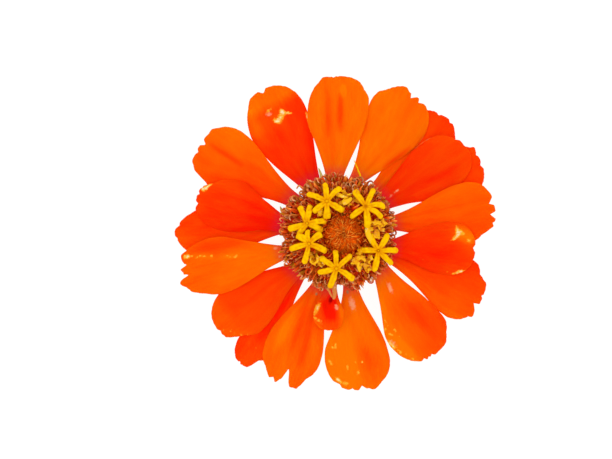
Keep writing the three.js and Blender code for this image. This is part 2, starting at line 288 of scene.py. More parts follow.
@dataclass(frozen=True)
class PetalFinish:
    """Living ray tissue: red to orange along its veins, a pink claw, cream scars and a dull underside."""

    name: str
    red: Colour = linear(255, 26, 0)
    middle: Colour = linear(255, 76, 0)
    orange: Colour = linear(255, 118, 0)
    claw: Colour = linear(232, 42, 78)
    deep: Colour = linear(176, 0, 0)
    tan: Colour = linear(192, 132, 88)
    scar: Colour = linear(255, 176, 44)
    pale: Colour = linear(255, 226, 176)
    glint: Colour = linear(255, 166, 122)
    under: Colour = linear(232, 128, 60)
    under_share: float = 0.75
    vein_scale: Place = (34.0, 1.5, 1.0)
    patch_scale: Place = (4.0, 2.6, 1.0)
    noise_middle: float = 0.45  # of the noises that stir the warmth, added up

    def build(self) -> bpy.types.Material:
        """Builds the material.

        Returns:
            The material, which reads the numbers that Ray stores on its mesh.
        """
        skin = Skin(self.name, roughness=0.6, specular=0.01)
        skin.set({
            "Subsurface Weight": 0.35, "Subsurface Radius": (1.0, 0.25, 0.05), "Subsurface Scale": 0.6 * MM,
        })
        uv = skin.node("ShaderNodeUVMap", uv_map="veins").outputs["UV"]
        vein = skin.noise(1.0, 4.0, skin.stretched(uv, self.vein_scale))
        patch = skin.noise(1.0, 3.0, skin.stretched(uv, self.patch_scale))
        grain = skin.noise(3.5, 2.0)
        ragged = skin.noise(2.2, 5.0, rough=0.75)
        warm = skin.stirred("warmth", (vein, 0.16), (patch, 0.6), (grain, 0.14))
        warm = skin.math("SUBTRACT", warm, self.noise_middle)
        colour = skin.ramp(warm, ((0.0, self.red), (0.5, self.middle), (1.0, self.orange)))
        # Deep red where the warmth falls far below 0; ray 11's strongest red stains use it to paint the
        # shade of its cupped middle.
        colour = skin.blend(colour, self.deep, skin.band(skin.math("MULTIPLY", warm, -1.0), 0.2, 1.2))
        for over, name, fray, amount, low, high in (
            (self.claw, "claw", vein, 0.5, 0.35, 1.3),
            (self.scar, "scar", ragged, 1.5, 1.1, 1.5),
            (self.pale, "scar", ragged, 1.5, 1.5, 1.8),
            (self.glint, "glint", ragged, 1.8, 1.15, 1.9),
            (self.tan, "dry", vein, 0.8, 0.7, 1.3),
        ):
            colour = skin.laid(colour, over, name, fray, amount, low, high)
        share = skin.math("MULTIPLY", skin.number("under"), self.under_share)
        colour = skin.blend(colour, self.under, share)
        return skin.finish(colour, skin.math("MULTIPLY_ADD", grain, 0.35, vein), depth=0.12, strength=0.35)


@dataclass(frozen=True)
class TuftFinish:
    """Small dry or fleshy parts, each copy of its own tone, that change from root to tip: partly their own
    tint, partly painted shade at the root and painted highlight at the tip.

    odd is the colour of the copies that stand out, in loose groups, and odd_share how many do.
    """

    name: str
    root: Colour
    body: Colour
    tip: Colour
    odd: Colour
    odd_share: float = 0.3
    odd_cover: float = 0.8
    gathering: float = 2.4  # how strongly the odd copies keep together
    darkest: float = 0.65
    shades: float = 0.5
    shade_steps: float = 7.0  # parts the shade of a copy from its chance to be odd

    def build(self) -> bpy.types.Material:
        """Builds the material.

        Returns:
            The material, which reads the tone of each copy and the reach along it.
        """
        skin = Skin(self.name, roughness=0.6, specular=0.04)
        tone = skin.number("tone")
        # Root to tip: partly the parts' own tint, partly painted shade at the root and painted highlight at
        # the tip.
        tint_and_painted_light = skin.stirred("reach", (skin.noise(1.5, 3.0), 0.3))
        colour = skin.ramp(tint_and_painted_light, ((0.15, self.root), (0.6, self.body), (1.1, self.tip)))
        own = skin.math("SUBTRACT", tone, self.gathering / 2.0)
        gathered = skin.math("MULTIPLY_ADD", skin.noise(0.5, 2.0), self.gathering, own)
        edge = 1.0 - self.odd_share
        strange = skin.band(gathered, edge - 0.05, edge + 0.05)
        colour = skin.blend(colour, self.odd, skin.math("MULTIPLY", strange, self.odd_cover))
        step = skin.math("FRACT", skin.math("MULTIPLY", tone, self.shade_steps))
        shade = skin.math("MULTIPLY_ADD", step, self.shades, self.darkest)
        grey = skin.node("ShaderNodeCombineColor", {0: shade, 1: shade, 2: shade}).outputs[0]
        colour = skin.blend(colour, grey, 1.0, "MULTIPLY")
        return skin.finish(colour, skin.noise(5.0, 2.0))


def tuft_finishes(*rows: tuple) -> list[bpy.types.Material]:
    """Builds finishes for tufts.

    Args:
        *rows: For each one its name, its root, body, tip and odd colour as they show, and its odd share.

    Returns:
        The materials.
    """
    made = []
    for name, *colours, odd_share in rows:
        made.append(TuftFinish(name, *(linear(*colour) for colour in colours), odd_share).build())
    return made


@dataclass(frozen=True)
class LobeFinish:
    """Velvety yellow floret tissue, with painted shade in its groove, at its throat, along its edges and
    underneath.
    """

    name: str
    bright: Colour = linear(255, 203, 0)
    deep: Colour = linear(240, 158, 0)
    throat: Colour = linear(218, 136, 0)
    noise_middle: float = 0.28  # of the noises that stir the depth, added up

    def build(self) -> bpy.types.Material:
        """Builds the material.

        Returns:
            The material, which reads the depth that StarFloret stores on its mesh and paints shade where it
            is high.
        """
        skin = Skin(self.name, roughness=0.7, specular=0.02)
        plush = skin.noise(5.5, 2.0)
        depth = skin.stirred("depth", (skin.noise(0.9, 3.0), 0.5), (plush, 0.25))
        depth = skin.math("SUBTRACT", depth, self.noise_middle, clamp=True)
        # Painted shade: the deep and throat colours darken the lobe where its depth number is high.
        colour = skin.ramp(depth, ((0.0, self.bright), (0.55, self.deep), (1.0, self.throat)))
        return skin.finish(colour, plush, depth=0.09, strength=0.8)


@dataclass(frozen=True)
class WitheredFinish:
    """Spent yellow tissue that dries to tan in pale patches, partly dried tissue and partly painted
    highlight, with painted shade in brown in its folds.
    """

    name: str
    fresh: Colour = linear(255, 194, 0)
    dry: Colour = linear(255, 222, 120)
    painted_fold_shade: Colour = linear(222, 126, 0)

    def build(self) -> bpy.types.Material:
        """Builds the material.

        Returns:
            The material, which paints shade by the depth of each fold where the mesh has one.
        """
        skin = Skin(self.name, roughness=0.6, specular=0.2)
        patch = skin.noise(1.2, 4.0, rough=0.65)
        # Pale patches at random: partly dried tissue, partly painted highlight.
        colour = skin.blend(self.fresh, self.dry, skin.band(patch, 0.56, 0.68))
        # Painted shade: brown where the depth number of a fold is high.
        colour = skin.laid(colour, self.painted_fold_shade, "depth", patch, 0.6, 0.75, 1.35)
        return skin.finish(colour, skin.noise(4.0, 3.0), depth=0.1, strength=0.8)


@dataclass(frozen=True)
class GreenFinish:
    """Leafy green with darker veins, and a dark dry margin or a pale cut face where the mesh says so."""

    name: str
    leaf: Colour = linear(112, 146, 62)
    pale: Colour = linear(158, 180, 96)
    margin: Colour = linear(52, 30, 26)
    cut: Colour = linear(214, 222, 170)

    def build(self) -> bpy.types.Material:
        """Builds the material.

        Returns:
            The material, which reads the numbers margin and cut.
        """
        skin = Skin(self.name, roughness=0.55, specular=0.3)
        rib = skin.noise(2.4 / MM, 3.0, skin.stretched(skin.place, (1.0, 1.0, 0.18)))
        colour = skin.blend(self.leaf, self.pale, skin.band(rib, 0.35, 0.7))
        colour = skin.blend(colour, self.pale, skin.band(skin.noise(0.3, 3.0), 0.5, 0.8))
        colour = skin.laid(colour, self.margin, "margin", rib, 0.5, 0.7, 1.1)
        cut = skin.blend(self.pale, self.cut, skin.noise(0.9, 3.0))
        return skin.finish(skin.blend(colour, cut, skin.number("cut")), rib, depth=0.1)


# ---------------------------------------------------------------- meshes


@dataclass
class Surface:
    """Points in millimetres, the faces between them, and numbers stored at each point."""

    points: np.ndarray
    faces: list[tuple[int, ...]]
    numbers: dict[str, np.ndarray] = field(default_factory=dict)
    veins: np.ndarray | None = None

    def mesh(self, name: str) -> bpy.types.Mesh:
        """Makes a Blender mesh.

        Args:
            name: Its name.

        Returns:
            The smooth mesh in metres, with the numbers and the veins' UV map.
        """
        made = bpy.data.meshes.new(name)
        made.from_pydata((self.points * MM).tolist(), [], self.faces)
        made.shade_smooth()
        for key, values in self.numbers.items():
            layer = made.attributes.new(key, "FLOAT", "POINT")
            layer.data.foreach_set("value", np.asarray(values, dtype=np.float32).ravel())
        if self.veins is not None:
            corners = np.empty(len(made.loops), dtype=np.int32)
            made.loops.foreach_get("vertex_index", corners)
            made.uv_layers.new(name="veins").data.foreach_set("uv", self.veins[corners].ravel())
        return made

    def outward(self) -> "Surface":
        """Returns the surface with every face turned outwards.

        Returns:
            The surface, with its points and numbers as they are.
        """
        made = bmesh.new()
        verts = [made.verts.new(point) for point in self.points.tolist()]
        for face in self.faces:
            made.faces.new([verts[i] for i in face])
        bmesh.ops.recalc_face_normals(made, faces=made.faces)
        made.verts.index_update()
        faces = [tuple(vert.index for vert in face.verts) for face in made.faces]
        made.free()
        return Surface(self.points, faces, self.numbers)


def joined(parts: Sequence[Surface]) -> Surface:
    """Joins surfaces whose numbers have the same names.

    Args:
        parts: The surfaces.

    Returns:
        One surface that holds them all.
    """
    starts = np.cumsum([0] + [len(part.points) for part in parts])
    faces = [
        tuple(int(start) + i for i in face) for start, part in zip(starts, parts) for face in part.faces
    ]
    numbers = {key: np.concatenate([part.numbers[key] for part in parts]) for key in parts[0].numbers}
    return Surface(np.concatenate([part.points for part in parts]), faces, numbers)


def round_surface(points: np.ndarray, segments: int) -> Surface:
    """Joins a top pole, bands of points round it and a bottom pole into one closed surface.

    Args:
        points: The poles and the bands, from the top down.
        segments: How many points each band has.

    Returns:
        The surface.
    """
    bands = (len(points) - 2) // segments
    last = len(points) - 1
    pairs = [(k, (k + 1) % segments) for k in range(segments)]
    faces = [(0, 1 + a, 1 + b) for a, b in pairs]
    for near in range(1, 1 + (bands - 1) * segments, segments):
        far = near + segments
        faces += [(near + a, far + a, far + b, near + b) for a, b in pairs]
    near = last - segments
    faces += [(last, near + b, near + a) for a, b in pairs]
    return Surface(points, faces)


def tube(points: np.ndarray, sides: int, numbers: dict[str, np.ndarray]) -> Surface:
    """Joins rings of points into a closed tube with flat ends.

    Args:
        points: The rings, one after the other.
        sides: How many points each ring has.
        numbers: Numbers at each point.

    Returns:
        The surface, with every face turned outwards.
    """
    pairs = [(k, (k + 1) % sides) for k in range(sides)]
    last = len(points) - sides
    faces = [(i + a, i + b, i + sides + b, i + sides + a) for i in range(0, last, sides) for a, b in pairs]
    faces += [tuple(reversed(range(sides))), tuple(range(last, last + sides))]
    return Surface(points, faces, numbers).outward()


def around(centre: Vector, angle: float, radius: float) -> Spot:
    """Returns the place at a bearing and a distance from a centre, seen from above."""
    return centre.x + radius * math.cos(angle), centre.y + radius * math.sin(angle)


def stood(name: str, data: bpy.types.ID) -> bpy.types.Object:
    """Returns a new object of the scene that holds the data."""
    made = bpy.data.objects.new(name, data)
    bpy.context.scene.collection.objects.link(made)
    return made


def settle(mesh: bpy.types.Mesh, material: bpy.types.Material, slot: str, *nodes: str) -> bpy.types.Object:
    """Puts a finished mesh in the scene as a piece of the head.

    Args:
        mesh: The mesh, already in place, whose name becomes the piece's name.
        material: Its finish.
        slot: The record's material slot that the finish belongs to; not used.
        *nodes: The CAD nodes that the piece stands for.

    Returns:
        The piece.
    """
    mesh.materials.clear()
    mesh.materials.append(material)
    piece = stood(mesh.name, mesh)
    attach(piece, "root")
    if nodes:
        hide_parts(*nodes)
    log.info("%s: %d faces", mesh.name, len(mesh.polygons))
    return piece


def applied(thing: bpy.types.Object, name: str) -> bpy.types.Mesh:
    """Applies an object's modifiers and takes the object away.

    Args:
        thing: The object.
        name: The result's name.

    Returns:
        A plain mesh, with no instances left.
    """
    graph = bpy.context.evaluated_depsgraph_get()
    made = bpy.data.meshes.new_from_object(thing.evaluated_get(graph), depsgraph=graph)
    made.name = name
    bpy.data.objects.remove(thing)
    return made


def merged_copy(node: str) -> bmesh.types.BMesh:
    """Copies a CAD node.

    Args:
        node: The node's name.

    Returns:
        The copy, in millimetres, with its loose triangles joined up.
    """
    copy = bmesh.new()
    copy.from_mesh(frame["nodes"][node].data)
    bmesh.ops.scale(copy, vec=(1.0 / MM,) * 3, verts=copy.verts)
    bmesh.ops.remove_doubles(copy, verts=copy.verts, dist=0.001)
    copy.normal_update()
    return copy


def box_of(node: str) -> tuple[Vector, Vector]:
    """Returns the lowest and the highest corner of a CAD node's box, in millimetres."""
    low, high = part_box(node)
    return Vector(low) / MM, Vector(high) / MM


def middle_of(node: str) -> Vector:
    """Returns the middle of a CAD node's box, in millimetres."""
    low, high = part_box(node)
    return (Vector(low) + Vector(high)) / (2.0 * MM)


class Feeler:
    """Feels where the surface of a CAD node is."""

    CLEAR = 5.0  # how far above or below the node's box a feeling line starts
    FAR = 50.0  # a distance outside the whole head

    def __init__(self, node: str) -> None:
        """Takes up a CAD node's faces and its box.

        Args:
            node: The node's name.
        """
        copy = merged_copy(node)
        self.tree = BVHTree.FromBMesh(copy)
        copy.free()
        self.low, self.high = box_of(node)
        self.middle = (self.low + self.high) / 2.0

    def height(self, x: float, y: float, above: bool) -> float | None:
        """Feels the height of the surface at a place.

        Args:
            x: The place along x.
            y: The place along y.
            above: Whether to feel from above rather than from below.

        Returns:
            The height, or None past the node's edge.
        """
        start = Vector((x, y, self.high.z + self.CLEAR if above else self.low.z - self.CLEAR))
        hit = self.tree.ray_cast(start, -UP if above else UP)[0]
        return None if hit is None else hit.z

    def radius(self, z: float) -> float:
        """Returns how far out the surface is at a height, along x."""
        return self.tree.ray_cast(Vector((self.FAR, 0.0, z)), Vector((-1.0, 0.0, 0.0)))[0].x


def smooth_curve(known: np.ndarray, values: np.ndarray, wanted: np.ndarray) -> np.ndarray:
    """Interpolates smoothly through every known value without swinging past it.

    Args:
        known: Where the values are known, rising.
        values: The values there.
        wanted: Where to read the curve. Past either end it stays at the end's value.

    Returns:
        The curve's values.
    """
    gaps = np.diff(known)
    slopes = np.diff(values) / gaps
    tangents = np.zeros_like(values)
    same_way = slopes[:-1] * slopes[1:] > 0.0
    before = 2.0 * gaps[1:] + gaps[:-1]
    after = gaps[1:] + 2.0 * gaps[:-1]
    safe = np.where(same_way, slopes[:-1] * slopes[1:], 1.0)
    mean = (before + after) * safe / (before * slopes[1:] + after * slopes[:-1] + 1e-12 * (~same_way))
    tangents[1:-1] = np.where(same_way, mean, 0.0)
    tangents[0], tangents[-1] = slopes[0], slopes[-1]
    at = np.clip(wanted, known[0], known[-1])
    i = np.clip(np.searchsorted(known, at, side="right") - 1, 0, len(gaps) - 1)
    k = (at - known[i]) / gaps[i]
    start = (1.0 + 2.0 * k) * (1.0 - k) ** 2 * values[i] + k * (1.0 - k) ** 2 * gaps[i] * tangents[i]
    end = k**2 * (3.0 - 2.0 * k) * values[i + 1] + k**2 * (k - 1.0) * gaps[i] * tangents[i + 1]
    return start + end


def waver(points: np.ndarray, size: float, seed: float) -> np.ndarray:
    """Reads a smooth noise.

    Args:
        points: Where to read it.
        size: The size of its features.
        seed: A number that sets it apart from other noises.

    Returns:
        The noise at each point, about -1 to 1.
    """
    flat = points.reshape(-1, 3) / size
    values = [noise.noise(Vector((x + seed, y - seed, z + 2.0 * seed))) for x, y, z in flat.tolist()]
    return np.array(values).reshape(points.shape[:-1])


def sheet(middle: np.ndarray, thickness: np.ndarray, side_numbers: dict[str, np.ndarray]) -> Surface:
    """Thickens a grid into a thin closed sheet.

    Args:
        middle: Rows outwards by columns from right to left, by x, y and z.
        thickness: The thickness at each point of the grid.
        side_numbers: Numbers at each point of the grid, stored on both sides.

    Returns:
        The sheet, with the number "under" 0 on top and 1 underneath.
    """
    rows, columns = middle.shape[:2]
    normal = np.cross(np.gradient(middle, axis=0), np.gradient(middle, axis=1))
    normal /= np.linalg.norm(normal, axis=2, keepdims=True)
    offset = normal * thickness[..., None] / 2.0
    points = np.concatenate([(middle + offset).reshape(-1, 3), (middle - offset).reshape(-1, 3)])
    below = rows * columns
    index = np.arange(below).reshape(rows, columns)
    corners = [index[:-1, :-1], index[1:, :-1], index[1:, 1:], index[:-1, 1:]]
    quads = np.stack(corners, axis=-1).reshape(-1, 4)
    rim = np.concatenate([index[:-1, 0], index[-1, :-1], index[:0:-1, -1], index[0, :0:-1]])
    ahead = np.roll(rim, -1)
    walls = np.stack([rim, rim + below, ahead + below, ahead], axis=-1)
    faces = np.concatenate([quads, quads[:, ::-1] + below, walls])
    numbers = {key: np.tile(values.ravel(), 2) for key, values in side_numbers.items()}
    numbers["under"] = np.repeat([0.0, 1.0], below)
    return Surface(points, [tuple(face) for face in faces.tolist()], numbers)


# ---------------------------------------------------------------- ray florets


class MarkKind(Enum):
    """What a mark on a ray is. The value names the number that it adds to on the mesh."""

    STAIN = "stain"
    SCAR = "scar"
    GLINT = "glint"
    DRY = "dry"


@dataclass(frozen=True)
class Mark:
    """A streak or spot on a ray, from one place to another in the ray's own frame."""

    kind: MarkKind
    start: Spot
    end: Spot
    width: float
    strength: float

    def at(self, x: np.ndarray, y: np.ndarray) -> np.ndarray:
        """Reads the mark.

        Args:
            x: How far out to read it.
            y: How far to the left to read it.

        Returns:
            Its strength there: full on its line, half of that its width away, and less at a streak's ends.
        """
        (x0, y0), (x1, y1) = self.start, self.end
        length = math.hypot(x1 - x0, y1 - y0) + 1e-6
        ux, uy = (x1 - x0) / length, (y1 - y0) / length
        along = np.clip((x - x0) * ux + (y - y0) * uy, 0.0, length)
        away = np.hypot(x - x0 - along * ux, y - y0 - along * uy)
        is_streak = length > 2.0 * self.width
        fade = 1.0 - 0.5 * (2.0 * along / length - 1.0) ** 2 if is_streak else 1.0
        return self.strength * fade * np.exp2(-((away / self.width) ** 2))


@dataclass(frozen=True)
class Nick:
    """A bite out of a ray's tip: its place round the tip, right -90 to left 90 degrees, and its size.

    right and left are how many degrees it runs to either side. Below 0 the depth is a rounded lobe that
    stands out.
    """

    at: float
    depth: float
    right: float
    left: float

    def bite(self, angle: np.ndarray) -> np.ndarray:
        """Reads the bite.

        Args:
            angle: Where round the tip to read it, in degrees.

        Returns:
            How deep it is there.
        """
        off = np.where(angle < self.at, (self.at - angle) / self.right, (angle - self.at) / self.left)
        if self.depth < 0.0:
            return self.depth * (0.5 + 0.5 * np.cos(math.pi * np.clip(off, 0.0, 1.0)))
        return self.depth * np.clip(1.0 - off, 0.0, 1.0) ** 0.9


@dataclass(frozen=True)
class RayLook:
    """How one ray looks: its warmth near the claw and far out, red 0 to orange 1, and its small features.

    skew is how much warmer the left edge is than the right, tip is the warmth of the last few millimetres
    where that differs, swell is how far the right and the left edge bulge, shoulder and claw are how far
    they stand out near the tip and near the disc, lift raises the right and the left flank, and pleat is how
    deep the grooves are.
    """

    near: float
    far: float
    skew: float = 0.0
    tip: float | None = None
    swell: Spot = (0.0, 0.0)
    shoulder: Spot = (0.0, 0.0)
    claw: Spot = (0.0, 0.0)
    lift: Spot = (0.0, 0.0)
    pleat: float = 0.07
    nicks: tuple[Nick, ...] = ()
    marks: tuple[Mark, ...] = ()


def stain(start: Spot, end: Spot, width: float, warmth: float) -> Mark:
    """Returns a soft change of warmth, redder below 0 and more orange above, which marks a real stain on
    most rays and painted shade on rays 2 and 11.
    """
    return Mark(MarkKind.STAIN, start, end, width, warmth)


def scar(start: Spot, end: Spot, width: float, strength: float) -> Mark:
    """Returns a yellow scar with a cream middle."""
    return Mark(MarkKind.SCAR, start, end, width, strength)


def glint(start: Spot, end: Spot, width: float = 0.25, strength: float = 0.8) -> Mark:
    """Returns a pale shine."""
    return Mark(MarkKind.GLINT, start, end, width, strength)


def dry(start: Spot, end: Spot, width: float, strength: float) -> Mark:
    """Returns a tan, dried patch."""
    return Mark(MarkKind.DRY, start, end, width, strength)


def flecks(start: Spot, end: Spot, count: int, strength: float) -> tuple[Mark, ...]:
    """Sets small scars of unlike sizes in a ragged line.

    Args:
        start: Where the line starts.
        end: Where it ends.
        count: How many scars there are.
        strength: How strong they are.

    Returns:
        The scars.
    """
    made = []
    for i in range(count):
        share = (i + 0.4 * math.sin(9.0 * i + start[0])) / max(count - 1, 1)
        x = start[0] + (end[0] - start[0]) * share
        y = start[1] + (end[1] - start[1]) * share + 0.25 * math.sin(23.0 * i + start[1])
        length = 0.4 + 0.35 * math.sin(5.0 * i + start[0])
        made.append(scar((x, y), (x + length, y + 0.1), 0.2 + 0.07 * math.sin(7.0 * i), strength))
    return tuple(made)


